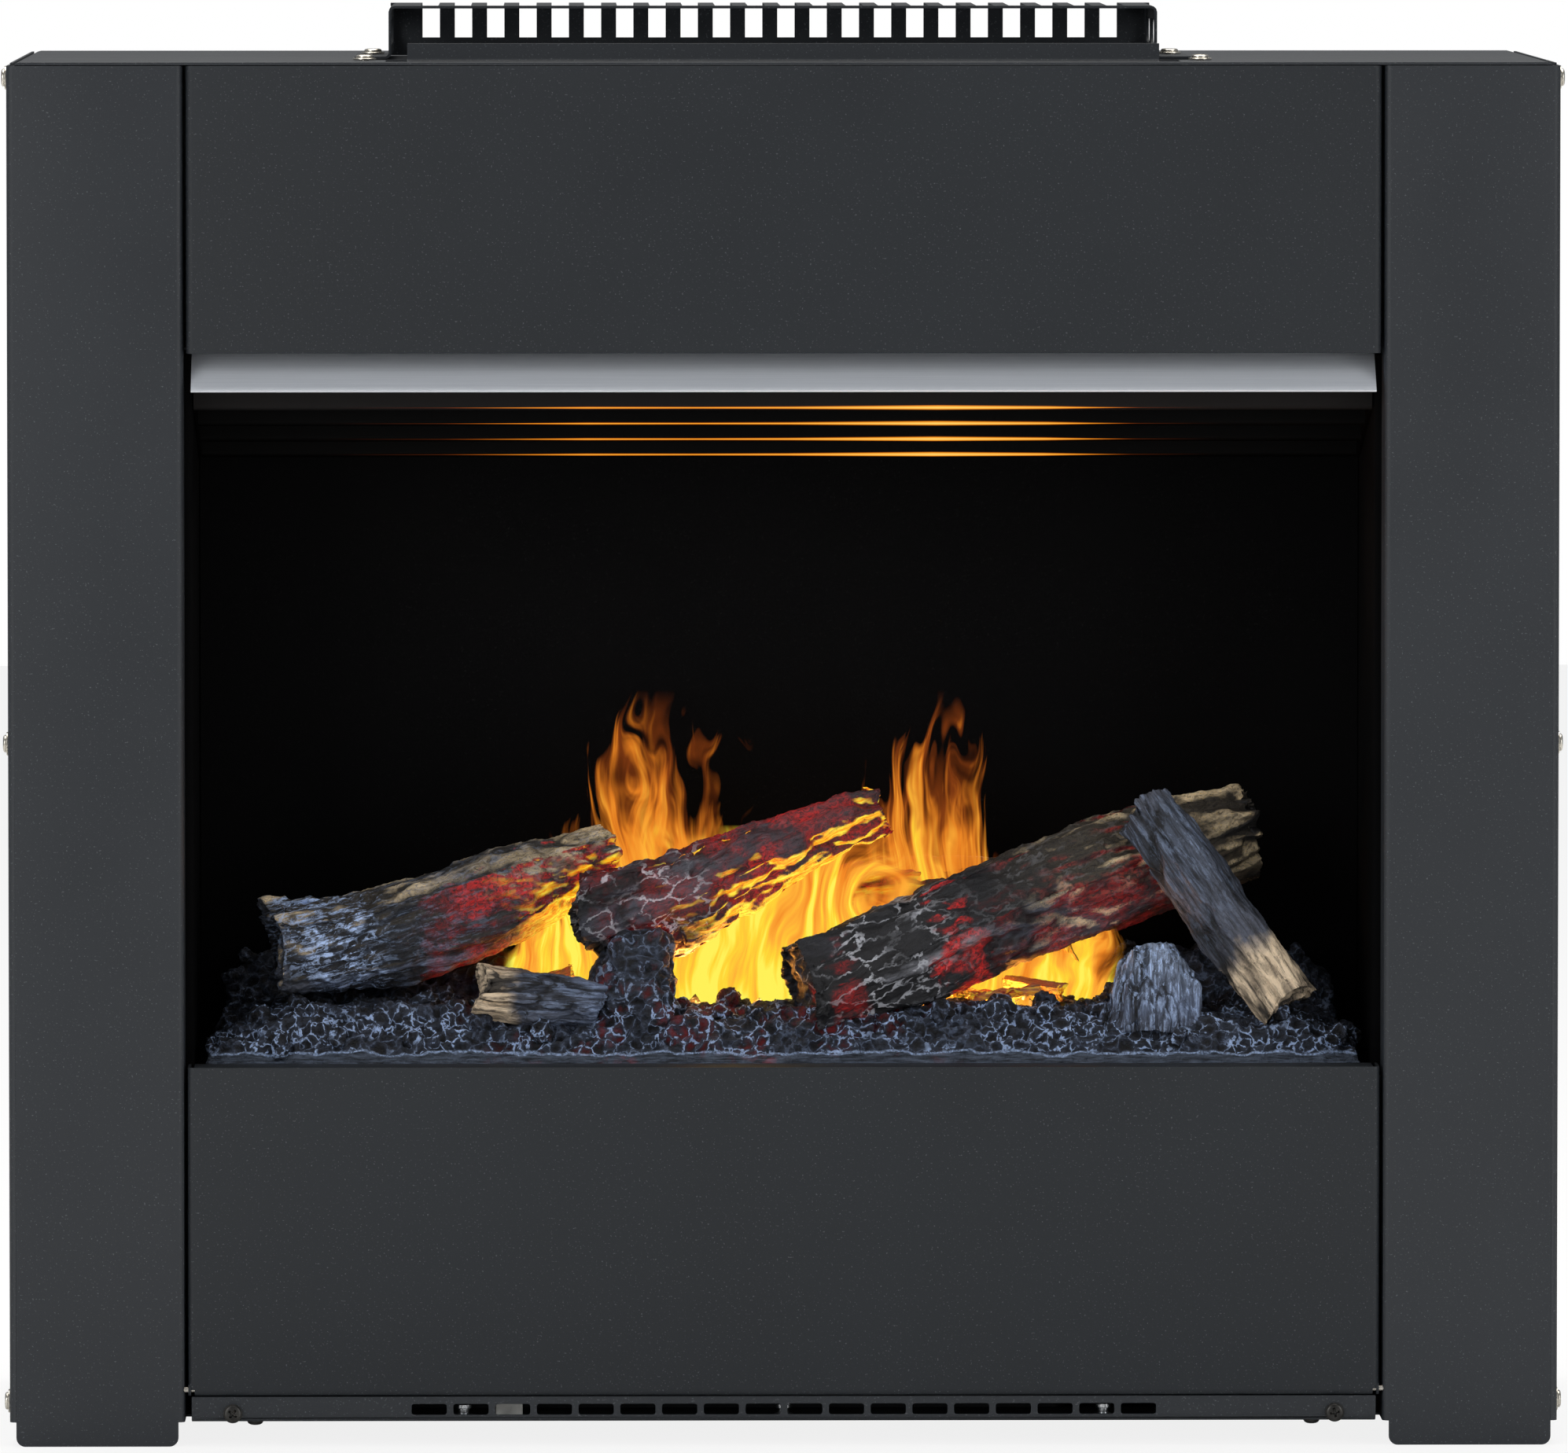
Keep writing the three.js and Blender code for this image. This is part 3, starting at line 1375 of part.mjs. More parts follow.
// Cross-flow drum: forward-curved blades between end discs.
function blowerRotor() {
  const half = drumLength / 2;
  const discs = [-half, half - 2].map((x) => rod([x, 0, 0], [x + 2, 0, 0], DRUM_RADIUS, 18));
  const blades = Array.from({ length: DRUM_BLADES }, (_, k) => {
    const at = (radius, lead) => {
      const angle = (2 * Math.PI * k) / DRUM_BLADES + lead;
      return [radius * Math.cos(angle), radius * Math.sin(angle)];
    };
    const root = DRUM_RADIUS - 7;
    const tip = DRUM_RADIUS - 1;
    const middle = (root + tip) / 2;
    const outline = [at(root, 0), at(middle, 0.05), at(tip, 0.2), at(tip, 0.25), at(root, 0.06)];
    return alongX(shapeOf(outline), -half, half);
  });
  const shaftEnd = DUCT_WIDTH / 2 + MOTOR_LENGTH / 2;
  const shaft = rod([-DUCT_WIDTH / 2 - 2, 0, 0], [shaftEnd, 0, 0], SHAFT_RADIUS, 12);
  return join([...discs, ...blades, shaft]);
}

function blowerMotor() {
  const side = MOTOR_RADIUS + 4;
  const plate = alongX(roundedRect(-side, side, -side, side, 6), 0, 2);
  const can = rod([1, 0, 0], [MOTOR_LENGTH, 0, 0], MOTOR_RADIUS, 20);
  const boss = rod([MOTOR_LENGTH - 1, 0, 0], [MOTOR_LENGTH + 4, 0, 0], MOTOR_RADIUS / 3, 12);
  const bore = rod([-1, 0, 0], [MOTOR_LENGTH / 2 + 2, 0, 0], SHAFT_RADIUS + SEAT, 12);
  return cut(join([plate, can, boss]), [bore]);
}

// Finned heating element in its frame, over the mouth in the shelf.
function heatingElement() {
  const [x0, x1, y0, y1] = heaterMouth;
  const rim = ELEMENT_RIM;
  const frame = cut(block(x0 - rim, x1 + rim, y0 - rim, y1 + rim / 2, 0, ELEMENT_HEIGHT), [
    block(x0, x1, y0, y1 - rim / 2, -1, ELEMENT_HEIGHT + 1),
  ]);
  const pitch = (x1 - x0) / (ELEMENT_FINS + 1);
  const fins = Array.from({ length: ELEMENT_FINS }, (_, i) => {
    const x = x0 + (i + 1) * pitch;
    return block(x - 0.5, x + 0.5, y0 - 1, y1, 3, ELEMENT_HEIGHT - 2);
  });
  const middle = (y0 + y1) / 2;
  const bar = rod([x0 - 1, middle, ELEMENT_HEIGHT / 2], [x1 + 1, middle, ELEMENT_HEIGHT / 2], 2, 8);
  return join([frame, ...fins, bar]);
}

place(heater, "heater_duct", heaterDuct(), galvanised);
place(heater, "blower_rotor", blowerRotor(), blackPlastic).position.set(0, DRUM_Y, drumZ);
const motor = place(heater, "blower_motor", blowerMotor(), motorSteel);
motor.position.set(DUCT_WIDTH / 2 + SEAT, DRUM_Y, drumZ);
place(heater, "heating_element", heatingElement(), element).position.z = ductBottom;

// ---- Controls ----
const controls = subassembly("controls");
const lastRocker = panelHalf - ROCKER_MARGIN;
const firstRocker = lastRocker - (ROCKER_COUNT - 1) * ROCKER_PITCH;
const rockerX = Array.from({ length: ROCKER_COUNT }, (_, i) => firstRocker + i * ROCKER_PITCH);
const rockerCell = ROCKER_WIDTH / 2 + 2 * SEAT;
const rockerCellHeight = ROCKER_HALF_HEIGHT + 1.7;
const rockerBack = ROCKER_Y + 14;

// Bracket under the deck, with a cell behind each rocker that holds the rocker's pivots.
function switchPlate() {
  const x0 = firstRocker - SWITCH_MARGIN;
  const x1 = lastRocker + SWITCH_MARGIN;
  const top = deckTop - SHEET - SEAT;
  const profile = folded([
    [SWITCH_FRONT + 16, top],
    [SWITCH_FRONT, top],
    [SWITCH_FRONT, top - SWITCH_HEIGHT],
    [SWITCH_FRONT + 10, top - SWITCH_HEIGHT],
  ]);
  const cells = rockerX.map((x) =>
    block(
      x - rockerCell - SHEET,
      x + rockerCell + SHEET,
      SWITCH_FRONT,
      rockerBack,
      rockerZ - rockerCellHeight - SHEET,
      rockerZ + rockerCellHeight + SHEET,
    ),
  );
  const wells = rockerX.map((x) =>
    block(
      x - rockerCell,
      x + rockerCell,
      SWITCH_FRONT - 1,
      rockerBack - SHEET,
      rockerZ - rockerCellHeight,
      rockerZ + rockerCellHeight,
    ),
  );
  const pivots = rockerX.map((x) =>
    rod([x - rockerCell - 3, ROCKER_Y, rockerZ], [x + rockerCell + 3, ROCKER_Y, rockerZ], 1 + SEAT, 10),
  );
  return cut(join([alongX(profile, x0, x1), ...cells]), [...wells, ...pivots]);
}

// Rocker with two faces at a shallow angle and its pivots, drawn level about the pivot axis.
function rocker() {
  const half = ROCKER_WIDTH / 2;
  const face = shapeOf([
    [-ROCKER_DEPTH, -ROCKER_HALF_HEIGHT],
    [-ROCKER_DEPTH + 2.2, 0],
    [-ROCKER_DEPTH, ROCKER_HALF_HEIGHT],
    [1, ROCKER_HALF_HEIGHT - 2],
    [4, 0],
    [1, 2 - ROCKER_HALF_HEIGHT],
  ]);
  const pivot = rod([-half - 2 * SEAT - SHEET / 2, 0, 0], [half + 2 * SEAT + SHEET / 2, 0, 0], 1, 10);
  return join([alongX(face, -half, half), pivot]);
}

function controlBox() {
  const x1 = pocketHalf - CONTROL_BOX_SETBACK;
  const x0 = x1 - CONTROL_BOX_WIDTH;
  const y1 = backInner - CONTROL_BOX_GAP;
  const y0 = y1 - CONTROL_BOX_DEPTH;
  const lidTop = CONTROL_HEIGHT;
  const body = block(x0 + 2, x1 - 2, y0 + 2, y1 - 2, 0, lidTop - 4);
  const lid = alongZ(roundedRect(x0, x1, y0, y1, 3), lidTop - 12, lidTop);
  const grooves = Array.from({ length: 8 }, (_, i) => {
    const x = x0 + 20 + i * 9;
    return block(x, x + 3, y0 + 15, y1 - 15, lidTop - 3, lidTop + 1);
  });
  return cut(join([body, lid]), grooves);
}

// Cable gland through the back panel: a body with its flange outside and a lock ring inside.
function cableGland() {
  const outside = CASE_DEPTH + SEAT;
  const inside = backInner - SEAT;
  const end = CASE_DEPTH + GLAND_PROUD;
  const profile = [
    [GLAND_BORE, inside - 8],
    [GLAND_BODY, inside - 8],
    [GLAND_BODY, inside - 4],
    [GLAND_BODY + 4, inside - 4],
    [GLAND_BODY + 4, inside],
    [GLAND_BODY, inside],
    [GLAND_BODY, outside],
    [GLAND_BODY + 4, outside],
    [GLAND_BODY + 4, outside + 2.5],
    [GLAND_BODY, outside + 3.5],
    [GLAND_BODY - 1.5, end],
    [GLAND_BORE, end],
    [GLAND_BORE, inside - 8],
  ];
  return turned(profile, 12);
}

place(controls, "switch_plate", switchPlate(), galvanised);
["rocker_main", "rocker_flame", "rocker_heat"].forEach((name, i) => {
  const key = place(controls, name, rocker(), blackPlastic);
  key.position.set(rockerX[i], ROCKER_Y, rockerZ);
  key.rotation.x = THREE.MathUtils.degToRad(-ROCKER_TILT);
});
place(controls, "control_box", controlBox(), whitePlastic).position.z = trayFloor;
place(controls, "cable_gland", cableGland(), blackPlastic).position.set(glandX, 0, GLAND_Z);

export default insert;
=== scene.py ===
import math

import bmesh
import bpy
import numpy as np
from mathutils import Euler, Matrix, Vector


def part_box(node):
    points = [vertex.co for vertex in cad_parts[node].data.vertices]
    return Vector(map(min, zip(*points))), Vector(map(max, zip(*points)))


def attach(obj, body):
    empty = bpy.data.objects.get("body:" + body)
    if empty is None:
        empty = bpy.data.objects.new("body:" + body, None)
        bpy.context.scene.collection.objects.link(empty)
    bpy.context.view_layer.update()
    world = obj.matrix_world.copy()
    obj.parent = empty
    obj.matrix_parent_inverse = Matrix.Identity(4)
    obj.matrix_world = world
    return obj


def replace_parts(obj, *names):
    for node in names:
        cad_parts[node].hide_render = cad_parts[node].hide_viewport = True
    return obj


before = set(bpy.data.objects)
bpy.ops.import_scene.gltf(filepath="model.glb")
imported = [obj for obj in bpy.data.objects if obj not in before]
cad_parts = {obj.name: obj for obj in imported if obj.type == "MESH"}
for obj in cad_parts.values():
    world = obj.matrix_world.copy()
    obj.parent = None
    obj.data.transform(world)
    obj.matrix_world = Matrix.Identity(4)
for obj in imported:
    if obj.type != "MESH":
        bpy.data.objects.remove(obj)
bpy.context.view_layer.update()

# ---------------------------------------------------------------------------------------------
# Camera: far in front of the casing, a little left of its middle and above its top, so that the
# top plate and its guard show as a thin band and the firebox shows its right wall.


def placed(name, data):
    """A new object in the scene, which holds a camera, a light or a mesh."""
    made = bpy.data.objects.new(name, data)
    bpy.context.scene.collection.objects.link(made)
    return made


camera = placed("camera", bpy.data.cameras.new("camera"))
camera.location = (-0.102, -7.105, 0.738)
camera.rotation_euler = (Vector((0, -0.155, 0.3195)) - camera.location).to_track_quat("-Z", "Y").to_euler()
camera.data.sensor_width = 36
camera.data.lens = 361.6
bpy.context.scene.camera = camera
bpy.context.scene.view_settings.view_transform = "Standard"

# ---------------------------------------------------------------------------------------------
# Studio: a white room with a pale floor. The camera sees the room as plain white, and the casing
# is lit by a soft sky and by large panels at the left, at the right and overhead.


def add(tree, kind, **settings):
    """A node with the named inputs set, or its properties where no input has that name."""
    made = tree.nodes.new(kind)
    for name, value in settings.items():
        socket = made.inputs.get(name.replace("_", " ").title())
        if socket is None:
            setattr(made, name, value)
        else:
            socket.default_value = value
    return made


def feed(tree, socket, value):
    """Links a socket to another one, or sets it to a plain value."""
    if isinstance(value, bpy.types.NodeSocket):
        tree.links.new(value, socket)
    else:
        socket.default_value = value


def calc(tree, operation, *values):
    made = add(tree, "ShaderNodeMath", operation=operation)
    for socket, value in zip(made.inputs, values):
        feed(tree, socket, value)
    return made.outputs["Value"]


def shown_as(tree, share, lit, plain, end):
    """Feeds the end with the lit shader, and a share of the rays with the plain one."""
    both = add(tree, "ShaderNodeMixShader")
    for socket, value in zip(both.inputs, (share, lit, plain)):
        feed(tree, socket, value)
    feed(tree, end, both.outputs["Shader"])


world = bpy.data.worlds.new("studio")
world.use_nodes = True
bpy.context.scene.world = world
room = world.node_tree
sky = room.nodes["Background"]
sky.inputs["Color"].default_value = (0.93, 0.96, 1.0, 1)
sky.inputs["Strength"].default_value = 0.26
seen = add(room, "ShaderNodeBackground", color=(1, 1, 1, 1), strength=1)
path = add(room, "ShaderNodeLightPath").outputs
direct = calc(room, "MAXIMUM", path["Is Camera Ray"], path["Is Transmission Ray"])
room_end = room.nodes["World Output"].inputs["Surface"]
shown_as(room, direct, sky.outputs["Background"], seen.outputs["Background"], room_end)


def soft_panel(name, place, aim, size, power, color=(1, 1, 1)):
    light = bpy.data.lights.new(name, "AREA")
    light.shape = "RECTANGLE"
    light.size, light.size_y = size
    light.energy = power
    light.color = color
    lamp = placed(name, light)
    lamp.location = place
    lamp.rotation_euler = (Vector(aim) - lamp.location).to_track_quat("-Z", "Y").to_euler()
    return lamp


soft_panel("panel_left", (-2.4, -3.0, 1.6), (0, 0, 0.3), (1.6, 2.4), 44)
soft_panel("panel_right", (2.6, -2.6, 1.3), (0, 0, 0.3), (1.4, 2.4), 30)
soft_panel("panel_top", (0, 0.4, 2.8), (0, 0, 0.5), (2.4, 2.0), 82, (1.0, 0.965, 0.91))


def new_material(name, roughness=0.5, metallic=0.0):
    material = bpy.data.materials.new(name)
    material.use_nodes = True
    bsdf = material.node_tree.nodes["Principled BSDF"]
    bsdf.inputs["Roughness"].default_value = roughness
    bsdf.inputs["Metallic"].default_value = metallic
    return material, material.node_tree, bsdf.inputs


floor_mesh = bpy.data.meshes.new("floor")
floor_mesh.from_pydata([(-6, -6, 0), (6, -6, 0), (6, 6, 0), (-6, 6, 0)], [], [(0, 1, 2, 3)])
floor = placed("floor", floor_mesh)
floor_paint, tree, bsdf = new_material("floor", 0.9)
bsdf["Base Color"].default_value = (0.94, 0.94, 0.94, 1)
white_share = calc(tree, "MULTIPLY", add(tree, "ShaderNodeLightPath").outputs["Is Camera Ray"], 0.85)
matt = tree.nodes["Principled BSDF"].outputs["BSDF"]
white = add(tree, "ShaderNodeEmission").outputs["Emission"]
shown_as(tree, white_share, matt, white, tree.nodes["Material Output"].inputs["Surface"])
floor_mesh.materials.append(floor_paint)

# ---------------------------------------------------------------------------------------------
# Powder coat on the folded steel: near-black anthracite with a fine orange-peel grain, a few
# lighter grains in it, and cloudy changes of gloss. The columns, casing sides, top and tray take it;
# the front panels and the guard take a darker copy with less sheen as painted shade.


def ramp(tree, source, stops):
    """A colour ramp fed by a value, with stops of (position, colour)."""
    made = add(tree, "ShaderNodeValToRGB")
    while len(made.color_ramp.elements) < len(stops):
        made.color_ramp.elements.new(0.5)
    for element, (position, color) in zip(made.color_ramp.elements, stops):
        element.position = position
        element.color = (*color, 1)
    feed(tree, made.inputs["Fac"], source)
    return made.outputs["Color"]


def object_point(tree):
    return add(tree, "ShaderNodeTexCoord").outputs["Object"]


def noise(tree, at, scale, detail=2.0, roughness=0.5):
    made = add(tree, "ShaderNodeTexNoise", detail=float(detail), roughness=roughness)
    feed(tree, made.inputs["Vector"], at)
    feed(tree, made.inputs["Scale"], scale)
    return made.outputs["Fac"]


def map_range(tree, value, from_min, from_max, to_min, to_max, curve="LINEAR"):
    made = add(tree, "ShaderNodeMapRange", interpolation_type=curve)
    limits = {"From Min": from_min, "From Max": from_max, "To Min": to_min, "To Max": to_max}
    for name, number in limits.items():
        made.inputs[name].default_value = number
    feed(tree, made.inputs["Value"], value)
    return made.outputs["Result"]


def bump(tree, height, strength, distance):
    made = add(tree, "ShaderNodeBump", strength=strength, distance=distance)
    feed(tree, made.inputs["Height"], height)
    return made.outputs["Normal"]


def blend(tree, factor, low, high):
    """A mix of two colours, each a socket or a plain colour."""
    made = add(tree, "ShaderNodeMix", data_type="RGBA")
    for socket, value in (("Factor", factor), ("A", low), ("B", high)):
        feed(tree, made.inputs[socket], (*value, 1) if isinstance(value, tuple) else value)
    return made.outputs["Result"]


def new_group(name, kind, inputs, outputs):
    """An empty node group with sockets of (label, type), and the sockets of its two ends."""
    group = bpy.data.node_groups.new(name, f"{kind}NodeTree")
    for way, sockets in (("INPUT", inputs), ("OUTPUT", outputs)):
        for label, socket_type in sockets:
            group.interface.new_socket(label, in_out=way, socket_type=f"NodeSocket{socket_type}")
    given = add(group, "NodeGroupInput").outputs if inputs else None
    return group, given, add(group, "NodeGroupOutput").inputs


powder_grain, _, grain_out = new_group(
    "powder_grain", "Shader", [], [("Cloud", "Float"), ("Speck", "Float"), ("Peel", "Float")]
)
at = object_point(powder_grain)
feed(powder_grain, grain_out["Cloud"], noise(powder_grain, at, 9, 4))
light_grains = noise(powder_grain, at, 1150, 1)
feed(powder_grain, grain_out["Speck"], map_range(powder_grain, light_grains, 0.66, 0.76, 0, 1))
feed(powder_grain, grain_out["Peel"], noise(powder_grain, at, 700, 2, 0.6))


def powder_coat(name, dark, light, speck_color, gloss, shine=0.45):
    material, tree, bsdf = new_material(name)
    bsdf["Specular IOR Level"].default_value = shine
    grains = add(tree, "ShaderNodeGroup", node_tree=powder_grain).outputs
    base = ramp(tree, grains["Cloud"], [(0.35, dark), (0.65, light)])
    feed(tree, bsdf["Base Color"], blend(tree, grains["Speck"], base, speck_color))
    feed(tree, bsdf["Roughness"], map_range(tree, grains["Cloud"], 0.3, 0.7, gloss, gloss + 0.1))
    feed(tree, bsdf["Normal"], bump(tree, grains["Peel"], 0.28, 0.0003))
    return material


coat = powder_coat("coat", (0.017, 0.0205, 0.0255), (0.02, 0.024, 0.0295), (0.085, 0.09, 0.1), 0.47)
# Painted shade: the same powder coat made darker and with less sheen for the front panels and guard.
shaded_panel_coat = powder_coat(
    "shaded_panel_coat", (0.0125, 0.0155, 0.0195), (0.015, 0.0185, 0.023), (0.075, 0.08, 0.09), 0.5, 0.36
)

# The folded panels of the casing. Their packed facets are welded, the bends shaded as round, and
# the cut edges of the sheet given the small radius that holds a line of light.
shape = [("Geometry", "Geometry")]
weld, weld_in, weld_out = new_group("weld_and_shade", "Geometry", shape, shape)
strip = add(weld, "GeometryNodeRemoveAttribute", name="custom_normal")
merge = add(weld, "GeometryNodeMergeByDistance", distance=0.00001)
round_all = add(weld, "GeometryNodeSetShadeSmooth")
sharp = add(weld, "GeometryNodeSetShadeSmooth", domain="EDGE", shade_smooth=False)
angle = add(weld, "GeometryNodeInputMeshEdgeAngle")
steep = add(weld, "FunctionNodeCompare", b=math.radians(38))
for source, target in (
    (weld_in["Geometry"], strip.inputs["Geometry"]),
    (strip.outputs["Geometry"], merge.inputs["Geometry"]),
    (merge.outputs["Geometry"], round_all.inputs["Geometry"]),
    (round_all.outputs["Geometry"], sharp.inputs["Geometry"]),
    (angle.outputs["Unsigned Angle"], steep.inputs["A"]),
    (steep.outputs["Result"], sharp.inputs["Selection"]),
    (sharp.outputs["Geometry"], weld_out["Geometry"]),
):
    weld.links.new(source, target)


def dress(nodes, material, edge=0.0):
    """Gives CAD nodes a material, round shading over their bends, and an edge radius if one is named."""
    for name in nodes:
        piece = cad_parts[name]
        piece.data.materials.clear()
        piece.data.materials.append(material)
        piece.modifiers.new("weld", "NODES").node_group = weld
        if edge:
            radius = piece.modifiers.new("edge", "BEVEL")
            radius.width = edge
            radius.segments = 2
            radius.limit_method = "ANGLE"
            radius.angle_limit = math.radians(50)
            radius.harden_normals = True


cut_edge = 0.00035
dress(["column_left", "column_right", "casing_side_left", "casing_side_right"], coat, cut_edge)
dress(["casing_top", "base_tray"], coat, cut_edge)
dress(["top_front_panel", "access_flap", "top_guard"], shaded_panel_coat, cut_edge)

# ---------------------------------------------------------------------------------------------
# Inside of the firebox: deck, walls and back in steel sheet, sprayed a flat heat-proof black. The
# black is set darker than the paint itself as painted shade for the deep firebox, so that it gives
# almost no light back.
# Heat-proof black with painted shade: darker than the paint, for the deep firebox.
shaded_firebox_black = powder_coat(
    "firebox_black", (0.0013, 0.0013, 0.0015), (0.0022, 0.0022, 0.0024), (0.006, 0.006, 0.006), 0.8, 0.05
)
dress(["firebox_deck", "firebox_wall_left", "firebox_wall_right", "firebox_back"], shaded_firebox_black, 0.0003)

# ---------------------------------------------------------------------------------------------
# Trim bar over the firebox mouth: a sloping strip between the columns, painted satin grey over a
# fine rolling grain along its length.
satin, tree, bsdf = new_material("trim", 0.4)
stretch = add(tree, "ShaderNodeMapping", scale=(3, 260, 260))
feed(tree, stretch.inputs["Vector"], object_point(tree))
rolled = noise(tree, stretch.outputs["Vector"], 6, 3)
feed(tree, bsdf["Base Color"], ramp(tree, rolled, [(0.3, (0.63, 0.66, 0.71)), (0.7, (0.69, 0.72, 0.77))]))
feed(tree, bsdf["Normal"], bump(tree, rolled, 0.1, 0.0002))
dress(["trim_bar"], satin, 0.0003)

# ---------------------------------------------------------------------------------------------
# Galvanised steel: back panel, shelf over the firebox, blower casing and switch bracket. The zinc
# shows as large soft flakes, each with its own tone and gloss.
zinc, tree, bsdf = new_material("galvanised", 0.4, 0.85)
flakes = add(tree, "ShaderNodeTexVoronoi", scale=90.0)
feed(tree, flakes.inputs["Vector"], object_point(tree))
tones = add(tree, "ShaderNodeSeparateColor")
feed(tree, tones.inputs["Color"], flakes.outputs["Color"])
flake_colors = [(0, (0.42, 0.43, 0.44)), (1, (0.62, 0.63, 0.64))]
feed(tree, bsdf["Base Color"], ramp(tree, tones.outputs["Red"], flake_colors))
feed(tree, bsdf["Roughness"], map_range(tree, tones.outputs["Green"], 0, 1, 0.33, 0.5))
dress(["casing_back", "heater_shelf", "heater_duct", "switch_plate"], zinc, 0.0003)

# ---------------------------------------------------------------------------------------------
# Moulded plastic parts of the mist unit and the controls: black with a fine spark texture, white
# for the lamps and the control box, and smoky clear for the tank.


def spark_plastic(name, color, gloss, texture=0.2):
    material, tree, bsdf = new_material(name, gloss)
    at = object_point(tree)
    low = tuple(0.85 * c for c in color)
    feed(tree, bsdf["Base Color"], ramp(tree, noise(tree, at, 60, 3), [(0.35, low), (0.65, color)]))
    feed(tree, bsdf["Normal"], bump(tree, noise(tree, at, 1500, 1), texture, 0.0002))
    return material


black_plastic = spark_plastic("black_plastic", (0.022, 0.023, 0.025), 0.45)
white_plastic = spark_plastic("white_plastic", (0.7, 0.7, 0.67), 0.4)
key_plastic = spark_plastic("rocker", (0.018, 0.018, 0.02), 0.3, 0.05)
dress(["sump", "mist_duct", "tank_cap", "turn_tab_left", "turn_tab_right"], black_plastic, 0.0004)
dress(["mist_fan_housing", "mist_fan_impeller", "blower_rotor", "cable_gland"], black_plastic)
dress(["rocker_main", "rocker_flame", "rocker_heat"], key_plastic, 0.0006)
dress(["control_box", "lamp_bar_front", "lamp_bar_rear"], white_plastic, 0.0004)

tank_plastic = spark_plastic("tank", (0.4, 0.47, 0.5), 0.15, 0.04)
tank_plastic.node_tree.nodes["Principled BSDF"].inputs["Transmission Weight"].default_value = 0.55
dress(["water_tank"], tank_plastic, 0.0005)

# ---------------------------------------------------------------------------------------------
# Heater and small metal parts: heat-tinted fins, the plain steel motor can, the brass disc that
# makes the mist, and the flap's nickel-plated hinge pins.


def worn_metal(name, dark, light, gloss, scale=140):
    material, tree, bsdf = new_material(name, gloss, 1.0)
    at = object_point(tree)
    feed(tree, bsdf["Base Color"], ramp(tree, noise(tree, at, scale, 4), [(0.3, dark), (0.7, light)]))
    wear = noise(tree, at, 3 * scale, 2)
    feed(tree, bsdf["Roughness"], map_range(tree, wear, 0.3, 0.7, gloss, gloss + 0.15))
    return material


dress(["heating_element"], worn_metal("element", (0.3, 0.24, 0.2), (0.5, 0.46, 0.42), 0.45))
dress(["blower_motor"], worn_metal("motor", (0.27, 0.28, 0.29), (0.38, 0.39, 0.4), 0.35), 0.0005)
dress(["transducer"], worn_metal("brass", (0.5, 0.36, 0.16), (0.68, 0.52, 0.27), 0.25))
nickel = worn_metal("nickel", (0.5, 0.47, 0.41), (0.7, 0.67, 0.6), 0.22, 400)
dress(["flap_pin_left", "flap_pin_right"], nickel)

# ---------------------------------------------------------------------------------------------
# Logs and bed: hand-painted resin castings. Each takes the form of its CAD solid, which is remeshed
# finely and carved by one node group with deep heat checks along the grain and fine raised veins.


def vector(tree, operation, *values):
    made = add(tree, "ShaderNodeVectorMath", operation=operation)
    for socket, value in zip(made.inputs, values):
        feed(tree, socket, value)
    return made.outputs["Value" if operation == "DOT_PRODUCT" else "Vector"]


def scaled(tree, value, factor):
    made = add(tree, "ShaderNodeVectorMath", operation="SCALE")
    feed(tree, made.inputs["Vector"], value)
    feed(tree, made.inputs["Scale"], factor)
    return made.outputs["Vector"]


def parts_of(tree, value):
    made = add(tree, "ShaderNodeSeparateXYZ")
    feed(tree, made.inputs["Vector"], value)
    return made.outputs


def cell_edge(tree, at, scale, width):
    """1 on the edges between the cells of a crackle and 0 a little way into each cell."""
    cells = add(tree, "ShaderNodeTexVoronoi", feature="DISTANCE_TO_EDGE")
    feed(tree, cells.inputs["Vector"], at)
    feed(tree, cells.inputs["Scale"], scale)
    return map_range(tree, cells.outputs["Distance"], 0, width, 1, 0, "SMOOTHSTEP")


def store(tree, geometry, name, value, kind="FLOAT"):
    made = add(tree, "GeometryNodeStoreNamedAttribute", data_type=kind, domain="POINT", name=name)
    feed(tree, made.inputs["Geometry"], geometry)
    feed(tree, made.inputs["Value"], value)
    return made.outputs["Geometry"]


def painted(tree, geometry, material):
    made = add(tree, "GeometryNodeSetMaterial")
    feed(tree, made.inputs["Geometry"], geometry)
    feed(tree, made.inputs["Material"], material)
    return made.outputs["Geometry"]


def moved(tree, geometry, offset):
    made = add(tree, "GeometryNodeSetPosition")
    feed(tree, made.inputs["Geometry"], geometry)
    feed(tree, made.inputs["Offset"], offset)
    return made.outputs["Geometry"]


sizes = ["Length", "Seed", "Stretch", "Check Size", "Check Depth", "Vein Size", "Vein Height", "Furrow",
         "Lump", "Jag", "Smooth Below"]
carve, given, carve_out = new_group(
    "carved_casting",
    "Geometry",
    [*shape, ("Start", "Vector"), ("Axis", "Vector"), *((size, "Float") for size in sizes),
     ("Material", "Material")],
    shape,
)
place = add(carve, "GeometryNodeInputPosition").outputs["Position"]
facing = add(carve, "GeometryNodeInputNormal").outputs["Normal"]
rel = vector(carve, "SUBTRACT", place, given["Start"])
run = vector(carve, "DOT_PRODUCT", rel, given["Axis"])
along = calc(carve, "DIVIDE", run, given["Length"])


def squeezed(stretch):
    """The place within the casting with its run along the grain drawn together by a factor."""
    shorten = calc(carve, "SUBTRACT", calc(carve, "DIVIDE", 1.0, stretch), 1.0)
    pulled = vector(carve, "ADD", rel, scaled(carve, given["Axis"], calc(carve, "MULTIPLY", run, shorten)))
    return vector(carve, "ADD", pulled, scaled(carve, (0.37, 0.11, 0.23), given["Seed"]))


def centred(value):
    return calc(carve, "SUBTRACT", value, 0.5)


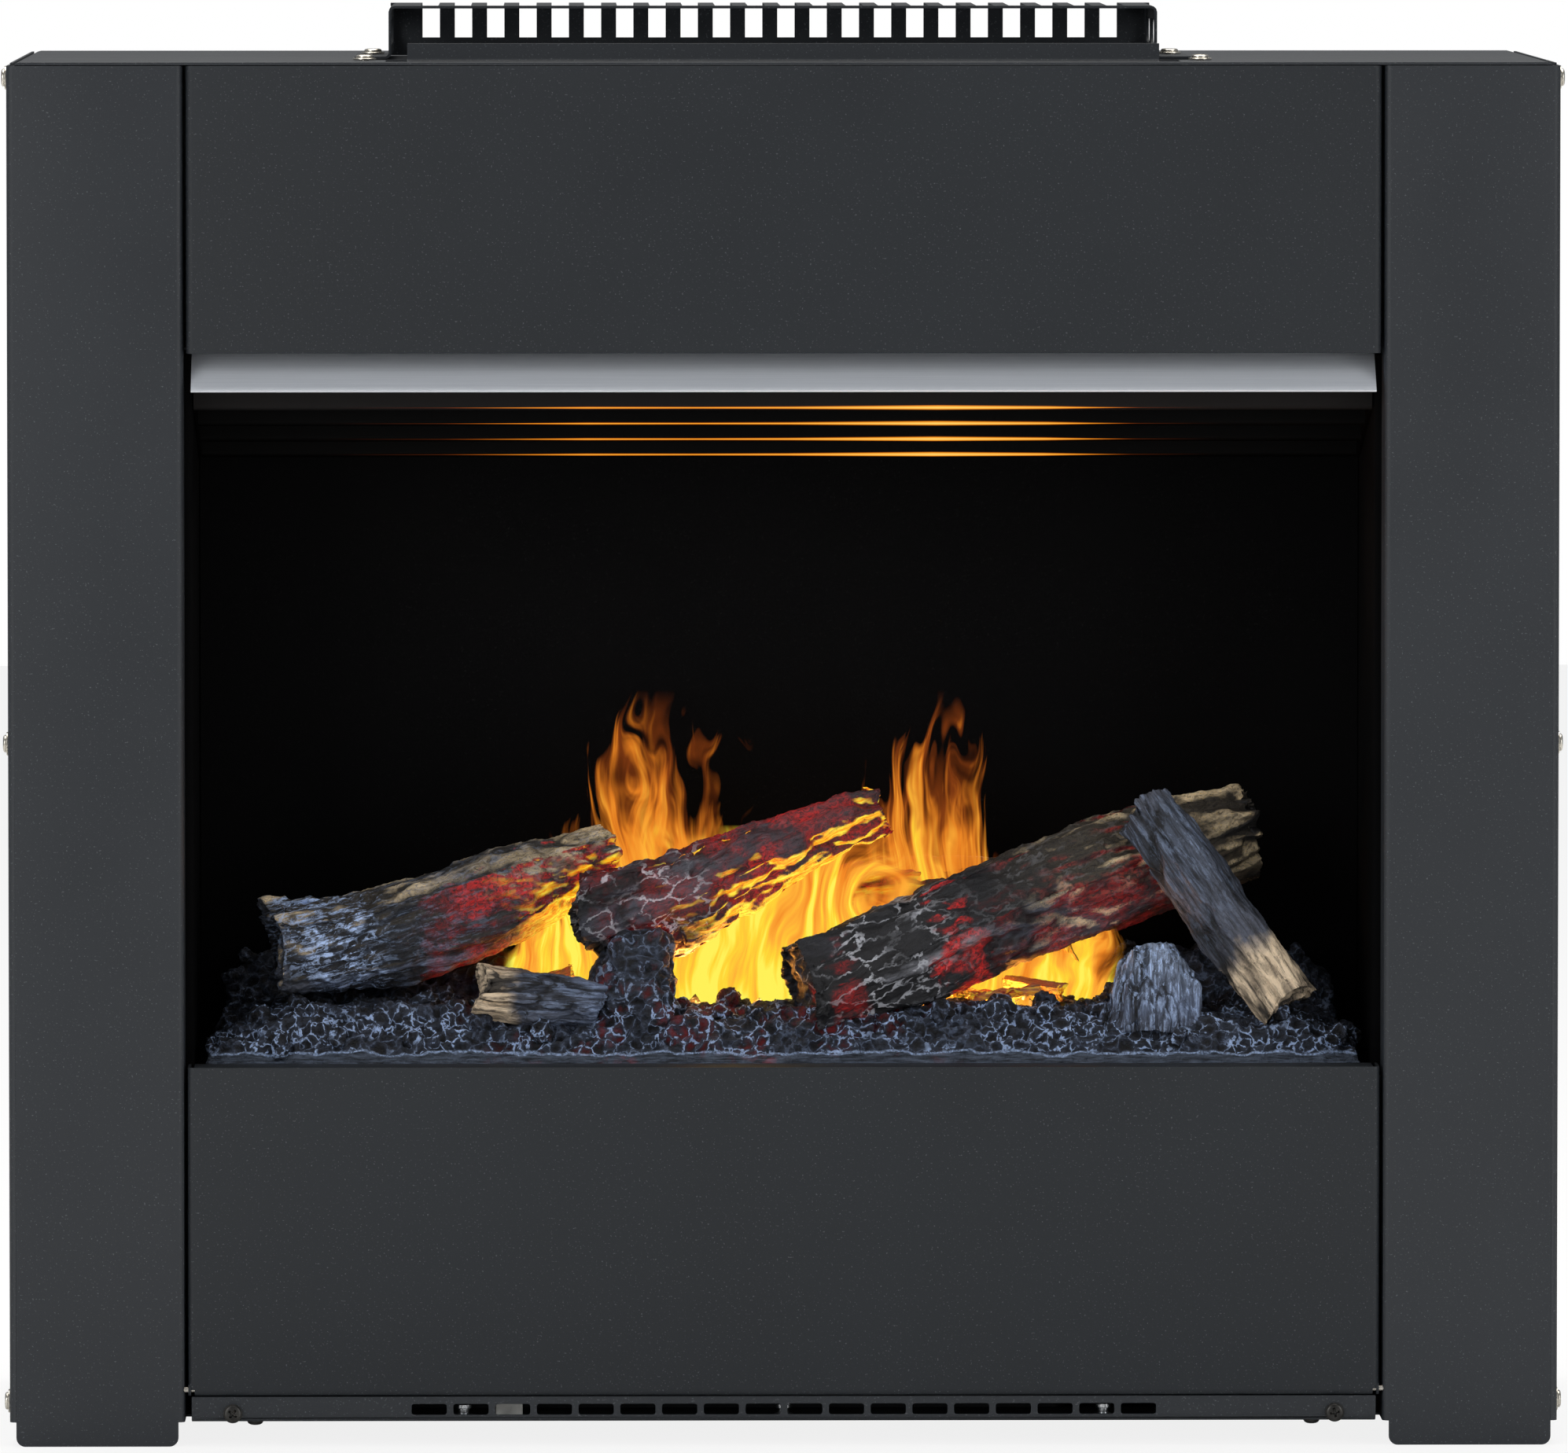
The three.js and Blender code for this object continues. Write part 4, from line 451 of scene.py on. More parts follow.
seeded = squeezed(given["Stretch"])
sway = add(carve, "ShaderNodeTexNoise", scale=90.0, detail=3.0)
feed(carve, sway.inputs["Vector"], seeded)
wander = vector(carve, "SUBTRACT", sway.outputs["Color"], (0.5, 0.5, 0.5))
grain_at = vector(carve, "ADD", seeded, scaled(carve, wander, 0.007))
drawn_out = squeezed(calc(carve, "MULTIPLY", given["Stretch"], 4.0))
fibre_at = vector(carve, "ADD", drawn_out, scaled(carve, wander, 0.003))
broken_up = map_range(carve, noise(carve, seeded, 34, 2, 0.55), 0.45, 0.58, 0, 1)
check = cell_edge(carve, grain_at, calc(carve, "DIVIDE", 1.0, given["Check Size"]), 0.16)
check = calc(carve, "MULTIPLY", check, broken_up)
vein = cell_edge(carve, grain_at, calc(carve, "DIVIDE", 1.0, given["Vein Size"]), 0.28)
off_line = calc(carve, "ABSOLUTE", centred(noise(carve, fibre_at, 30, 2, 0.55)))
furrow = calc(carve, "MAXIMUM", calc(carve, "MULTIPLY_ADD", off_line, -6.0, 1.0), 0.0)
fibre = centred(noise(carve, fibre_at, 260, 3, 0.55))
rough = centred(noise(carve, grain_at, 190, 4, 0.55))
lump = centred(noise(carve, seeded, 42, 3, 0.55))
relief = calc(carve, "MULTIPLY", check, calc(carve, "MULTIPLY", given["Check Depth"], -1.0))
relief = calc(carve, "MULTIPLY_ADD", vein, given["Vein Height"], relief)
relief = calc(carve, "MULTIPLY_ADD", furrow, calc(carve, "MULTIPLY", given["Furrow"], -1.0), relief)
relief = calc(carve, "MULTIPLY_ADD", fibre, 0.0022, relief)
relief = calc(carve, "MULTIPLY_ADD", rough, 0.0046, relief)
edge_on = calc(carve, "ABSOLUTE", vector(carve, "DOT_PRODUCT", facing, given["Axis"]))
broken = calc(carve, "MULTIPLY", map_range(carve, edge_on, 0.55, 0.85, 0, 1), given["Jag"])
height = calc(carve, "MULTIPLY_ADD", lump, given["Lump"], relief)
height = calc(carve, "SUBTRACT", height, calc(carve, "MULTIPLY", noise(carve, seeded, 150, 2, 0.55), broken))
over = calc(carve, "SUBTRACT", parts_of(carve, place)["Z"], given["Smooth Below"])
height = calc(carve, "MULTIPLY", height, map_range(carve, over, -0.001, 0.003, 0.12, 1))
casting = moved(carve, given["Geometry"], scaled(carve, facing, height))
casting = store(carve, casting, "along", along)
casting = store(carve, casting, "relief", calc(carve, "MULTIPLY_ADD", relief, 180.0, 0.5))
casting = store(carve, casting, "top", vector(carve, "DOT_PRODUCT", facing, (0.0, -0.2, 0.98)))
casting = store(carve, casting, "grain", grain_at, "FLOAT_VECTOR")
casting = store(carve, casting, "fibre", fibre_at, "FLOAT_VECTOR")
rounded = add(carve, "GeometryNodeSetShadeSmooth")
feed(carve, rounded.inputs["Geometry"], casting)
feed(carve, carve_out["Geometry"], painted(carve, rounded.outputs["Geometry"], given["Material"]))


def set_inputs(modifier, values):
    """Sets a node modifier's inputs by the identifiers of its group's named sockets."""
    for item in modifier.node_group.interface.items_tree:
        if item.in_out == "INPUT" and item.name in values:
            modifier[item.identifier] = values[item.name]


def frozen(name, source, modifiers_of):
    """A new object whose mesh is that of a modified copy of the source mesh."""
    draft = placed(name, source)
    modifiers_of(draft)
    bpy.context.view_layer.update()
    made = bpy.data.meshes.new_from_object(draft.evaluated_get(bpy.context.evaluated_depsgraph_get()))
    draft.modifiers.clear()
    draft.data = made
    made.name = name
    return draft


def carved_piece(name, source, material, voxel, values, upright=False):
    """A fine casting of a mesh, carved along its longest direction."""
    points = np.array([vertex.co for vertex in source.vertices])
    middle = points.mean(axis=0)
    axis = np.linalg.svd(points - middle, full_matrices=False)[2][0]
    axis = np.array((0.0, 0.0, 1.0)) if upright else axis * (1 if axis[0] > 0 else -1)
    reach = (points - middle) @ axis
    settings = {
        "Start": [float(v) for v in middle + axis * reach.min()],
        "Axis": [float(v) for v in axis],
        "Length": float(reach.max() - reach.min()),
        "Material": material,
        **values,
    }

    def carved(draft):
        remesh = draft.modifiers.new("remesh", "REMESH")
        remesh.mode = "VOXEL"
        remesh.voxel_size = voxel
        modifier = draft.modifiers.new("carve", "NODES")
        modifier.node_group = carve
        set_inputs(modifier, settings)

    made = frozen(name, source, carved)
    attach(made, "log_set")
    return made


def cast(node, material, voxel, values, upright=False):
    """The casting that stands in place of a CAD node."""
    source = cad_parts[node].data.copy()
    made = carved_piece(f"{node}_casting", source, material, voxel, values, upright)
    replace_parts(made, node)
    return made


def read(tree, name):
    return add(tree, "ShaderNodeAttribute", attribute_name=name).outputs["Fac"]


def times(tree, *values):
    product = values[0]
    for value in values[1:]:
        product = calc(tree, "MULTIPLY", product, value)
    return product


# The marks of the painter's brush, shared by all castings: drawn-out streaks, thin crackle lines on
# the walls between cells, dry-brushed high places, cloudy patches and bright specks.
strokes = ("Patches", "Fine", "Streak", "Wall", "Line", "Dry", "Bleach", "Speck", "Bump")
marks, given, marks_out = new_group(
    "casting_marks", "Shader", [("Cells per Metre", "Float")], [(stroke, "Float") for stroke in strokes]
)
at = object_point(marks)
bent = add(marks, "ShaderNodeTexNoise", scale=260.0, detail=2.0)
feed(marks, bent.inputs["Vector"], at)
straight = add(marks, "ShaderNodeAttribute", attribute_name="grain").outputs["Vector"]
grain = vector(marks, "ADD", straight, scaled(marks, bent.outputs["Color"], 0.004))
fibres = add(marks, "ShaderNodeAttribute", attribute_name="fibre").outputs["Vector"]
streak = noise(marks, fibres, 560, 4, 0.68)
fine = noise(marks, grain, 900, 3, 0.62)
mottle = noise(marks, grain, 300, 4, 0.7)
wall = cell_edge(marks, grain, given["Cells per Metre"], 0.3)
uneven = calc(marks, "SUBTRACT", mottle, 0.5)
ragged = calc(marks, "MULTIPLY_ADD", uneven, 1.0, wall)
clouds = noise(marks, at, 48, 4, 0.6)
high = calc(marks, "MULTIPLY_ADD", uneven, 1.1, read(marks, "relief"))
for stroke, values in {
    "Patches": [clouds],
    "Fine": [fine],
    "Streak": [streak],
    "Wall": [wall],
    "Line": [map_range(marks, ragged, 0.9, 1.02, 0, 1), map_range(marks, clouds, 0.42, 0.52, 0.12, 1)],
    "Dry": [map_range(marks, high, 0.62, 0.85, 0, 1), map_range(marks, streak, 0.42, 0.6, 0.15, 1)],
    "Bleach": [map_range(marks, streak, 0.5, 0.6, 0, 1), map_range(marks, mottle, 0.42, 0.54, 0.1, 1)],
    "Speck": [map_range(marks, noise(marks, at, 1500, 2), 0.6, 0.7, 0, 1)],
    "Bump": [calc(marks, "ADD", calc(marks, "MULTIPLY_ADD", wall, 0.5, fine), streak)],
}.items():
    feed(marks, marks_out[stroke], times(marks, *values))

NO_LIGHT = (0.0, 0.0, 0.0)
ASH = (0.5, 0.66, 1.0)
PALE_ASH = (0.78, 0.8, 0.88)
DEEP_BLACK = (0.004, 0.004, 0.0055)
GILT = (0.86, 0.68, 0.43)
BRIGHT_GILT = (0.95, 0.66, 0.2)


def brush_marks(tree, cell):
    made = add(tree, "ShaderNodeGroup", node_tree=marks)
    made.inputs["Cells per Metre"].default_value = 1 / cell
    return made.outputs


def grey(stops):
    return [(position, (value, value, value)) for position, value in stops]


def burnt_wood(name, vein_size, wood, ash=0, bleach=0, crackle=0, gold=0, red=0, red_to=0.5, glow=0,
               under=(0.15, -0.4), dust=ASH, crown_from=0.45):
    """Painted wood whose colours change along it: wood is a colour ramp, the others are amounts,
    each a number or a ramp. gold lies on faces more upward than crown_from, and red on faces less
    upward than red_to as dark red paint under a painted crimson glow. glow is painted light of the
    fire, an emission on what faces down, from under[0] on."""
    material, tree, bsdf = new_material(name, 0.7)
    brush = brush_marks(tree, vein_size)
    sway = calc(tree, "MULTIPLY", calc(tree, "SUBTRACT", brush["Patches"], 0.5), 0.24)
    reach = calc(tree, "ADD", sway, read(tree, "along"))
    relief, top = read(tree, "relief"), read(tree, "top")

    def amount(stops):
        return ramp(tree, reach, grey(stops)) if isinstance(stops, list) else float(stops)

    color = blend(tree, map_range(tree, brush["Streak"], 0.34, 0.54, 0.85, 0), ramp(tree, reach, wood), DEEP_BLACK)
    if gold:
        gilded = times(tree, amount(gold), map_range(tree, top, crown_from, crown_from + 0.3, 0, 1))
        leaf = times(tree, gilded, map_range(tree, brush["Fine"], 0.36, 0.54, 0.25, 1))
        color = blend(tree, leaf, color, GILT)
        color = blend(tree, times(tree, gilded, brush["Speck"]), color, BRIGHT_GILT)
    # Darker towards deep black with the depth of the checks.
    color = blend(tree, map_range(tree, relief, 0.06, 0.36, 0.95, 0), color, DEEP_BLACK)
    for stops, stroke in ((ash, "Dry"), (bleach, "Bleach"), (crackle, "Line")):
        if stops:
            color = blend(tree, times(tree, amount(stops), brush[stroke]), color, dust)
    if red:
        # Red patches: dark red paint in the base colour, and a painted crimson glow as emission.
        red_glow_patch = times(tree, amount(red), map_range(tree, brush["Patches"], 0.4, 0.56, 0.08, 1))
        red_glow_patch = times(tree, red_glow_patch, map_range(tree, relief, 0.25, 0.8, 1, 0.3))
        red_glow_patch = times(tree, red_glow_patch, map_range(tree, top, red_to, red_to + 0.25, 1, 0))
        color = blend(tree, times(tree, red_glow_patch, 0.8), color, (0.02, 0.003, 0.004))
        crimson_glow = ramp(tree, brush["Fine"], [(0.38, (0.05, 0.002, 0.003)), (0.64, (0.5, 0.012, 0.01))])
        light = blend(tree, red_glow_patch, NO_LIGHT, crimson_glow)
        # Painted fire light: flame colours as emission on what faces down.
        if glow:
            lit = times(tree, amount(glow), map_range(tree, top, under[0], under[1], 0, 1))
            flame_colors = [(0.34, (0.8, 0.1, 0.0)), (0.47, (1.0, 0.42, 0.005)), (0.62, (1.0, 0.82, 0.05))]
            light = blend(tree, lit, light, ramp(tree, brush["Streak"], flame_colors))
        feed(tree, bsdf["Emission Color"], light)
        bsdf["Emission Strength"].default_value = 1.0
    feed(tree, bsdf["Base Color"], color)
    feed(tree, bsdf["Normal"], bump(tree, brush["Bump"], 0.8, 0.0009))
    return material


CHAR = (0.075, 0.082, 0.11)
BLUE = (0.15, 0.195, 0.31)
GREY = (0.26, 0.265, 0.3)
BROWN = (0.13, 0.1, 0.065)
TAN = (0.8, 0.63, 0.44)
charred_log = {"Seed": 1.0, "Stretch": 1.8, "Check Size": 0.017, "Check Depth": 0.0026, "Vein Size": 0.008,
               "Vein Height": 0.0006, "Furrow": 0.004, "Lump": 0.008, "Jag": 0.006}


def small_log(seed, stretch, check_size, jag):
    own = {"Seed": seed, "Stretch": stretch, "Check Size": check_size, "Jag": jag, "Vein Size": 0.006}
    return {**charred_log, **own, "Lump": 0.003, "Furrow": 0.0022}


left_wood = burnt_wood(
    "log_left",
    0.006,
    wood=[(0, CHAR), (0.07, CHAR), (0.12, BLUE), (0.3, BLUE), (0.55, CHAR), (0.8, BROWN)],
    ash=[(0, 0.15), (0.08, 0.5), (0.14, 0.8), (0.28, 0.7), (0.4, 0.4), (1, 0.2)],
    bleach=[(0, 0), (0.08, 0.3), (0.13, 1), (0.24, 1), (0.32, 0.2), (0.6, 0.1), (1, 0)],
    crackle=[(0.04, 0.2), (0.1, 0.5), (0.22, 0.3), (0.34, 0), (0.6, 0.1), (1, 0.1)],
    gold=[(0, 0.9), (0.4, 0.9), (0.55, 0.3), (0.8, 0.5), (1, 1)],
    red=[(0.42, 0), (0.58, 0.8), (0.8, 1), (1, 1)],
    red_to=0.35,
    glow=[(0.62, 0), (0.78, 0.9), (0.97, 1), (1, 0.4)],
    crown_from=0.3,
)
cast("log_left", left_wood, 0.0011, charred_log)
middle_wood = burnt_wood(
    "log_middle",
    0.0085,
    wood=[(0, (0.018, 0.018, 0.026)), (0.1, (0.045, 0.05, 0.07)), (0.3, (0.075, 0.08, 0.1)),
          (0.45, (0.05, 0.05, 0.065)), (1, (0.03, 0.022, 0.025))],
    ash=[(0, 0.1), (0.15, 0.3), (0.3, 0.25), (0.45, 0.05), (1, 0.02)],
    crackle=[(0, 0.1), (0.1, 0.4), (0.15, 0.8), (0.34, 0.65), (0.46, 0.05), (1, 0)],
    red=[(0.05, 0), (0.15, 0.3), (0.4, 0.3), (0.55, 0.85), (0.95, 0.75)],
    red_to=2,
    glow=[(0.26, 0), (0.42, 1), (0.94, 1), (0.99, 0)],
    under=(0.02, -0.3),
    dust=PALE_ASH,
)
cast("log_middle", middle_wood, 0.001, {**charred_log, "Seed": 2.0})
right_wood = burnt_wood(
    "log_right",
    0.0075,
    wood=[(0, (0.02, 0.02, 0.028)), (0.12, (0.045, 0.048, 0.065)), (0.2, GREY), (0.33, GREY),
          (0.42, (0.07, 0.08, 0.11)), (0.76, (0.045, 0.04, 0.04)), (0.9, BROWN), (1, BROWN)],
    ash=[(0, 0.1), (0.12, 0.4), (0.3, 0.4), (0.45, 0.2), (1, 0.1)],
    crackle=[(0, 0.1), (0.08, 0.3), (0.14, 0.6), (0.28, 0.45), (0.36, 0.05), (0.5, 0.1), (1, 0)],
    gold=[(0.4, 0), (0.52, 0.5), (0.62, 1), (0.85, 1), (1, 0.6)],
    red=[(0.06, 0), (0.1, 0.5), (0.13, 0), (0.29, 0), (0.31, 1), (0.37, 1), (0.39, 0), (0.54, 0.4),
         (0.75, 0.3), (0.8, 0)],
    red_to=0.3,
    dust=PALE_ASH,
    crown_from=-0.05,
)
cast("log_right", right_wood, 0.0012, {**charred_log, "Seed": 3.0, "Stretch": 2.2})
split_wood = burnt_wood(
    "log_split",
    0.006,
    wood=[(0, CHAR), (0.12, (0.06, 0.075, 0.11)), (0.4, (0.075, 0.09, 0.13)), (0.7, CHAR), (0.78, TAN),
          (1, TAN)],
    ash=[(0, 0.3), (0.6, 0.35), (0.76, 0)],
    bleach=[(0, 0.15), (0.25, 0.2), (0.55, 0.1), (0.76, 0)],
)
cast("log_split", split_wood, 0.0009, small_log(4.0, 3.0, 0.016, 0.002))
stump_wood = burnt_wood(
    "charred_stump",
    0.005,
    wood=[(0, CHAR), (0.3, BLUE), (1, (0.22, 0.27, 0.37))],
    ash=1,
    bleach=[(0, 0.4), (1, 1)],
    crackle=[(0.7, 0), (1, 1)],
)
cast("charred_stump", stump_wood, 0.0008, small_log(5.0, 4.0, 0.009, 0.004), upright=True)
sawn_wood = burnt_wood(
    "sawn_log_piece",
    0.005,
    wood=[(0, TAN), (0.26, TAN), (0.36, CHAR), (1, BLUE)],
    bleach=[(0.2, 0), (0.4, 0.2), (1, 0.3)],
)
cast("sawn_log_piece", sawn_wood, 0.0007, small_log(6.0, 3.0, 0.009, 0.001))
rear_wood = burnt_wood(
    "log_rear",
    0.008,
    wood=[(0, CHAR), (0.6, CHAR), (0.85, TAN), (1, TAN)],
    ash=0.1,
    red=[(0.2, 0), (0.5, 1), (0.84, 0.8), (0.9, 0)],
    red_to=2,
    glow=[(0.3, 0.2), (0.6, 0.9), (0.82, 0.6), (0.88, 0)],
    under=(0.6, 0.0),
)
cast("log_rear", rear_wood, 0.0012, {**charred_log, "Seed": 7.0})

# ---------------------------------------------------------------------------------------------
# Ember bed: one moulded crust of small hollows with pale rims, the hollows darkened as painted shade.
# Its front skirt is smooth and streaked under a wavy pale line, the pale lines fade towards the back
# as painted shade, its middle has a faint painted red glow, and loose coals and kindling lie on it.
bed_paint, tree, bsdf = new_material("ember_bed", 0.7)
brush = brush_marks(tree, 0.0062)
spot = parts_of(tree, object_point(tree))
drawn_out = add(tree, "ShaderNodeMapping", scale=(0.12, 1, 1))
feed(tree, drawn_out.inputs["Vector"], object_point(tree))
brushed = noise(tree, drawn_out.outputs["Vector"], 900, 3, 0.6)
wave = calc(tree, "MULTIPLY_ADD", noise(tree, object_point(tree), 90, 2), 0.006, 0.1692)
above = calc(tree, "SUBTRACT", spot["Z"], wave)
crust = map_range(tree, above, 0, 0.001, 0, 1)
rim_line = times(tree, map_range(tree, calc(tree, "ABSOLUTE", above), 0.0002, 0.0007, 1, 0), 0.9)
# Painted shade: the pale lines fade towards the back of the bed.
shade_behind = map_range(tree, spot["Y"], -0.11, -0.06, 1, 0.35)
low = map_range(tree, spot["Z"], 0.192, 0.202, 1, 0.45)
# Painted shade: the insides of the hollows near black, the walls between them lighter.
shaded_hollows = blend(tree, brush["Wall"], (0.003, 0.003, 0.005), (0.03, 0.037, 0.06))
skirt = ramp(tree, brushed, [(0.36, (0.015, 0.02, 0.03)), (0.66, (0.11, 0.14, 0.2))])
color = blend(tree, crust, skirt, shaded_hollows)
color = blend(tree, times(tree, brush["Line"], crust, shade_behind, low), color, ASH)
color = blend(tree, times(tree, brush["Dry"], crust, 0.05), color, ASH)
color = blend(tree, times(tree, rim_line, map_range(tree, brush["Fine"], 0.4, 0.6, 0.2, 1)), color, ASH)
feed(tree, bsdf["Base Color"], color)
# Painted glow: a faint red emission over the middle of the bed.
off_middle = calc(tree, "ABSOLUTE", calc(tree, "ADD", spot["X"], 0.03))
painted_bed_glow = times(
    tree,
    map_range(tree, off_middle, 0.03, 0.12, 1, 0),
    map_range(tree, brush["Patches"], 0.5, 0.62, 0, 1),
    calc(tree, "SUBTRACT", 1.0, brush["Wall"]),
)
feed(tree, bsdf["Emission Color"], blend(tree, painted_bed_glow, NO_LIGHT, (0.07, 0.0015, 0.0015)))
bsdf["Emission Strength"].default_value = 1.0
feed(tree, bsdf["Normal"], bump(tree, brush["Bump"], 1.0, 0.0016))
bed_relief = {"Seed": 8.0, "Stretch": 1.0, "Check Size": 0.02, "Check Depth": 0.0, "Vein Size": 0.0085,
              "Vein Height": 0.003, "Furrow": 0.0, "Lump": 0.009, "Jag": 0.0, "Smooth Below": 0.172}
bed = cast("fuel_bed", bed_paint, 0.0014, bed_relief)

coals, given, coals_out = new_group(
    "coals",
    "Geometry",
    [*shape, ("Spacing", "Float"), ("Smallest", "Float"), ("Largest", "Float"), ("Seed", "Int"),
     ("Material", "Material")],
    shape,
)
facing = add(coals, "GeometryNodeInputNormal").outputs["Normal"]
place = add(coals, "GeometryNodeInputPosition").outputs["Position"]
flat = map_range(coals, vector(coals, "DOT_PRODUCT", facing, (0.0, 0.0, 1.0)), 0.55, 0.6, 0, 1)
on_crust = times(coals, flat, map_range(coals, parts_of(coals, place)["Z"], 0.175, 0.176, 0, 1))
scatter = add(coals, "GeometryNodeDistributePointsOnFaces", distribute_method="POISSON")
feed(coals, scatter.inputs["Mesh"], given["Geometry"])
feed(coals, scatter.inputs["Distance Min"], given["Spacing"])
scatter.inputs["Density Max"].default_value = 6000
feed(coals, scatter.inputs["Density Factor"], on_crust)
feed(coals, scatter.inputs["Seed"], given["Seed"])
ball = add(coals, "GeometryNodeMeshIcoSphere", radius=1, subdivisions=4)
turn = add(coals, "FunctionNodeRandomValue", data_type="FLOAT_VECTOR")
turn.inputs["Max"].default_value = (6.28, 6.28, 6.28)
size = add(coals, "FunctionNodeRandomValue", data_type="FLOAT_VECTOR", seed=5)


def joined(tree, *values):
    made = add(tree, "ShaderNodeCombineXYZ")
    for socket, value in zip(made.inputs, values):
        feed(tree, socket, value)
    return made.outputs["Vector"]


feed(coals, size.inputs["Min"], joined(coals, *[given["Smallest"]] * 3))
feed(coals, size.inputs["Max"], joined(coals, *[given["Largest"]] * 3))
each = add(coals, "GeometryNodeInstanceOnPoints")
feed(coals, each.inputs["Points"], scatter.outputs["Points"])
feed(coals, each.inputs["Instance"], ball.outputs["Mesh"])
feed(coals, each.inputs["Rotation"], turn.outputs["Value"])
feed(coals, each.inputs["Scale"], size.outputs["Value"])
real = add(coals, "GeometryNodeRealizeInstances")
feed(coals, real.inputs["Geometry"], each.outputs["Instances"])
knobs = calc(coals, "SUBTRACT", noise(coals, place, 170, 4, 0.6), 0.5)
pits = calc(coals, "MULTIPLY", cell_edge(coals, place, 240.0, 0.25), 0.0009)
swollen = scaled(coals, facing, calc(coals, "MULTIPLY_ADD", knobs, 0.009, pits))
rugged = moved(coals, real.outputs["Geometry"], swollen)
rugged = store(coals, rugged, "relief", calc(coals, "MULTIPLY_ADD", knobs, 1.5, 0.5))
rugged = store(coals, rugged, "grain", place, "FLOAT_VECTOR")
rugged = store(coals, rugged, "fibre", place, "FLOAT_VECTOR")
feed(coals, coals_out["Geometry"], painted(coals, rugged, given["Material"]))


def scattered(draft):
    modifier = draft.modifiers.new("coals", "NODES")
    modifier.node_group = coals
    coal_sizes = {"Spacing": 0.017, "Smallest": 0.0028, "Largest": 0.0065}
    set_inputs(modifier, {**coal_sizes, "Seed": 11, "Material": bed_paint})


loose = frozen("loose_coals", bed.data.copy(), scattered)
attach(loose, "log_set")

kindling_paint = burnt_wood(
    "kindling",
    0.006,
    wood=[(0, (0.5, 0.26, 0.1)), (1, (0.4, 0.2, 0.08))],
    red=[(0, 0.6), (0.4, 0.2), (0.8, 0.7)],
    red_to=2,
    glow=[(0, 0.5), (0.5, 0.25), (1, 0.6)],
    under=(0.5, -0.4),
)


def meshed(name, bm):
    """The mesh of a finished bmesh, which is freed."""
    mesh = bpy.data.meshes.new(name)
    bm.to_mesh(mesh)
    bm.free()
    return mesh


def stick(name, middle, length, width, thick, turn, tilt, seed):
    """A split stick of kindling with rough ends."""
    bm = bmesh.new()
    bmesh.ops.create_cube(bm, size=1)
    for vertex in bm.verts:
        vertex.co.x += 0.12 * vertex.co.y * vertex.co.z
    pose = Matrix.Translation(middle) @ Euler((0.3 * seed, tilt, turn)).to_matrix().to_4x4()
    bmesh.ops.transform(bm, matrix=pose @ Matrix.Diagonal((length, width, thick, 1)), verts=bm.verts)
    mesh = meshed(name, bm)
    values = {**small_log(float(seed), 3.0, 0.008, 0.002), "Lump": 0.001, "Furrow": 0.001}
    carved_piece(name, mesh, kindling_paint, 0.0005, values)


for index, (middle, size, turns) in enumerate((
    ((0.1, -0.083, 0.1955), (0.034, 0.0065, 0.005), (0.15, -0.08)),
    ((0.113, -0.072, 0.1975), (0.03, 0.006, 0.006), (-0.5, 0.12)),
    ((0.087, -0.071, 0.1935), (0.026, 0.006, 0.005), (0.7, 0.1)),
    ((-0.107, -0.068, 0.1985), (0.032, 0.007, 0.006), (0.3, -0.35)),
    ((0.132, -0.055, 0.207), (0.03, 0.007, 0.007), (0.9, 0.9)),
)):
    stick(f"kindling_{index + 1}", middle, *size, *turns, index + 21)

# ---------------------------------------------------------------------------------------------
# Fasteners: pan-head cross-recess screws turned on a lathe, with the cross cut out, each over a
# washer. Nickel-plated at the sides and on top, blackened in the base strip.


def lathe(name, profile, segments=40):
    """A turned mesh from (radius, height) points in mm, closed at both ends of its axis."""
    bm = bmesh.new()
    line = [bm.verts.new((0.001 * r, 0, 0.001 * h)) for r, h in profile]
    edges = [bm.edges.new(pair) for pair in zip(line, line[1:])]
    whole = 2 * math.pi
    bmesh.ops.spin(bm, geom=line + edges, cent=(0, 0, 0), axis=(0, 0, 1), angle=whole, steps=segments)
    bmesh.ops.remove_doubles(bm, verts=bm.verts, dist=1e-7)
    bmesh.ops.recalc_face_normals(bm, faces=bm.faces)
    return meshed(name, bm)


def turned(mesh, material):
    """Gives a lathe-made mesh its metal, and sharp edges between its smooth turned faces."""
    mesh.materials.clear()
    mesh.materials.append(material)
    mesh.shade_smooth()
    mesh.set_sharp_from_angle(angle=math.radians(30))
    return mesh


def settle(name, mesh):
    """A finished mesh as a piece that stays with the casing."""
    piece = placed(name, mesh)
    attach(piece, "casing")
    return piece


def tapered_bar(turn):
    """One bar of the cross recess, which narrows towards its foot."""
    bm = bmesh.new()
    bmesh.ops.create_cube(bm, size=1)
    for vertex in bm.verts:
        low = vertex.co.z < 0
        vertex.co = (
            vertex.co.x * (0.0028 if low else 0.0047),
            vertex.co.y * (0.0006 if low else 0.0011),
            0.0014 if low else 0.003,
        )
    bmesh.ops.rotate(bm, cent=(0, 0, 0), matrix=Matrix.Rotation(turn, 3, "Z"), verts=bm.verts)
    return placed("bar", meshed("bar", bm))


def cross_screw(name, washer, material):
    """Shank, washer and pan head, with its height measured from the face that it is driven into."""
    profile = [(0, -5), (1.4, -5), (1.9, -4.5), (1.9, 0.3), (washer - 0.12, 0.3), (washer, 0.42),
               (washer, 0.98), (washer - 0.12, 1.1), (3.75, 1.12), (3.9, 1.25), (3.9, 1.75), (3.78, 2.1),
               (3.4, 2.42), (2.7, 2.62), (1.6, 2.69), (0, 2.7)]
    bars = [tapered_bar(0.4), tapered_bar(0.4 + math.pi / 2)]

    def recessed(draft):
        for bar in bars:
            cut = draft.modifiers.new("cross", "BOOLEAN")
            cut.operation = "DIFFERENCE"
            cut.solver = "EXACT"
            cut.object = bar
        soft = draft.modifiers.new("edge", "BEVEL")
        soft.width = 0.00008
        soft.segments = 1

    made = frozen(name, lathe(name, profile), recessed)
    mesh = made.data
    for used in (made, *bars):
        bpy.data.objects.remove(used)
    return turned(mesh, material)


screw_head = 0.0027


